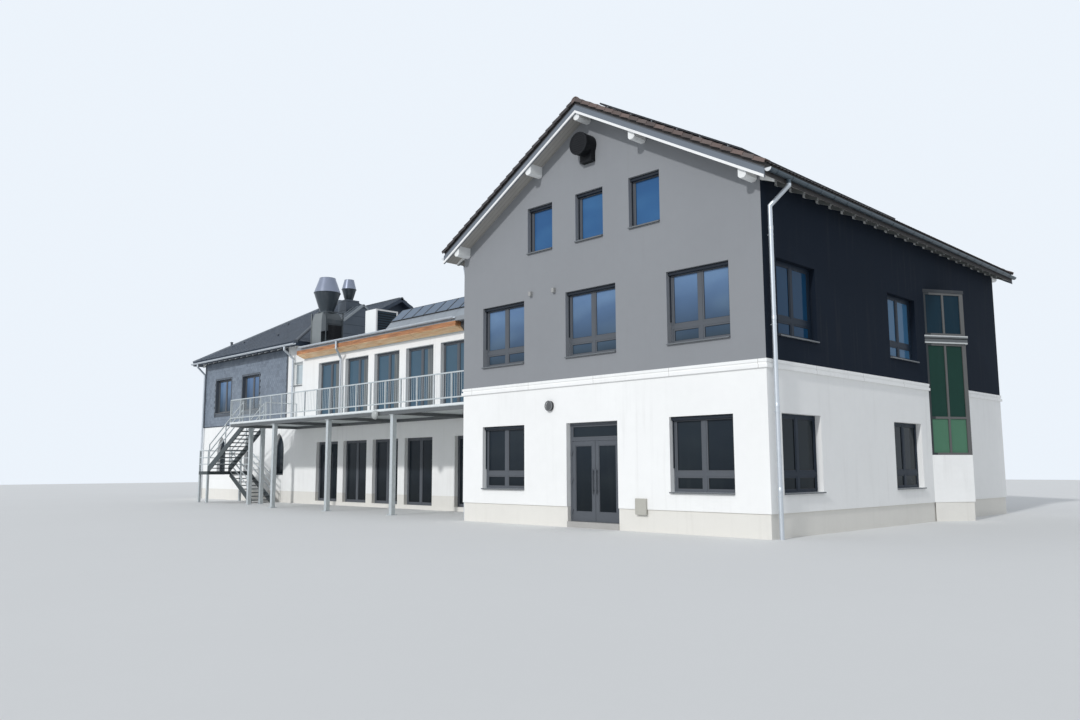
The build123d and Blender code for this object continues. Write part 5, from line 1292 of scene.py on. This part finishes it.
def hood_outline(flange, neck, wide, mouth, flange_high, neck_high, swell, taper):
    a, b = flange_high, flange_high + neck_high
    c, d = b + swell, b + swell + taper
    return [(flange, 0.0), (flange, a), (neck + 0.012, a + 0.004), (neck, a + 0.016), (neck, b),
            (neck + 0.006, b + 0.004), (wide - 0.012, c - 0.012), (wide, c - 0.010),
            (wide + 0.006, c - 0.006), (wide + 0.006, c + 0.010), (wide - 0.004, c + 0.012),
            (mouth + 0.008, d - 0.012), (mouth + 0.010, d - 0.006), (mouth + 0.004, d),
            (mouth - 0.012, d), (mouth - 0.014, d - 0.30), (0.03, d - 0.34)]


for word, foot, sizes in (
        ("front", (-19.497, -3.455, DUCT_TOP),
         (0.425, 0.310, 0.594, 0.350, 0.025, 0.075, 0.840, 0.693)),
        ("rear", (-20.0, HOUSE_MIDDLE, 9.330),
         (0.25, 0.190, 0.339, 0.215, 0.020, 0.040, 0.480, 0.460))):
    hood = Shape().turned(hood_outline(*sizes), 64, Matrix.Translation(foot))
    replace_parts(fixed("spun_hood_" + word, hood, hood_sheet, "duct_metal", smooth=30,
                      outwards=True), "roof_hood_" + word)


# The air hood: white painted sheet, open to the right behind a folded rim, with slats
# across its mouth. The faces that look to the right are painted near black, as painted shade.
# Faces that look to the right are painted near black: painted shade.
dress(finish("air_hood_paint", split((0.88, 0.90, 0.89), (0.006, 0.030, 0.052), 0.7, 0, True),
             0.4, patches=(0.4, 0.05), streaks=0.15, grained=(0.02, 0.0003)), "roof_air_hood")
AIR_RIGHT = -15.565
mouth = ((-3.455, 6.95), (-3.455, 8.195), (-2.355, 8.195), (-2.355, 7.71), (-3.045, 6.95))
within = ((-3.385, 7.00), (-3.385, 8.130), (-2.420, 8.130), (-2.420, 7.735), (-3.065, 7.00))
rim_faces = []
for n in range(5):
    m = (n + 1) % 5
    rim_faces += [(n, m, m + 5, n + 5), (n + 10, n + 15, m + 15, m + 10),
                  (n, n + 10, m + 10, m), (n + 5, m + 5, m + 15, n + 15)]
rim = Shape().add([(x, *v) for x in (AIR_RIGHT - 0.004, AIR_RIGHT + 0.030)
                   for v in mouth + within], rim_faces)
fixed("air_hood_rim", rim, white_paint, "white_metal", outwards=True)
slats = Shape()
for n in range(10):
    z = 7.06 + n * 0.105
    end = -2.42 if z > 7.735 else -3.065 + (z - 7.00) * 0.878
    slats.board((AIR_RIGHT - 0.004, -3.385, z), (AIR_RIGHT + 0.014, end, z + 0.03), 0.002)
fixed("air_hood_slats", slats, black, "white_metal")


# The floor, the soft studio light and the camera, which stands where the photograph was
# taken from.
ground = bpy.data.meshes.new("floor")
ground.from_pydata([(-90, -60, 0), (60, -60, 0), (60, 90, 0), (-90, 90, 0)], [], [(0, 1, 2, 3)])
stand("floor", ground)
ground.materials.append(finish("pale_floor", (0.72, 0.72, 0.71), 0.9, streaks=0.0,
                               patches=(4.0, 0.02), grained=(0.1, 0.0)))
scene = bpy.context.scene
scene.view_settings.view_transform = "Standard"
world = bpy.data.worlds.new("studio")
scene.world = world
world.use_nodes = True
nodes = Nodes(world.node_tree)
soft = world.node_tree.nodes["Background"]
soft.inputs["Color"].default_value = (0.80, 0.85, 0.92, 1)
soft.inputs["Strength"].default_value = 0.70
pale = nodes.put("Background", {"Color": (0.84, 0.90, 0.97), "Strength": 1.0})
rays = nodes.put("LightPath").node.outputs
seen = nodes.calc("MAXIMUM", rays["Is Camera Ray"], nodes.calc(
    "MAXIMUM", rays["Is Glossy Ray"], rays["Is Transmission Ray"]))
nodes.fill(world.node_tree.nodes["World Output"].inputs["Surface"], nodes.put(
    "MixShader", {0: seen, 1: soft.outputs[0], 2: pale}))
sun = bpy.data.lights.new("key", "SUN")
sun.energy = 1.62
sun.angle = radians(3)
stand("key", sun).rotation_euler = Vector((-0.14, 1.0, -0.56)).to_track_quat("-Z", "Y").to_euler()
YAW, PITCH, ROLL, STANDPOINT = 0.7939, 0.1239, -0.0034, (14.953, -23.799, 1.510)
lens = bpy.data.cameras.new("camera")
lens.lens = 29.015
lens.clip_end = 300
camera = stand("camera", lens)
ahead = Vector((-sin(YAW) * cos(PITCH), cos(YAW) * cos(PITCH), sin(PITCH)))
camera.matrix_world = (Matrix.Translation(STANDPOINT) @ ahead.to_track_quat(
    "-Z", "Y").to_matrix().to_4x4() @ Matrix.Rotation(ROLL, 4, "Z"))
scene.camera = camera
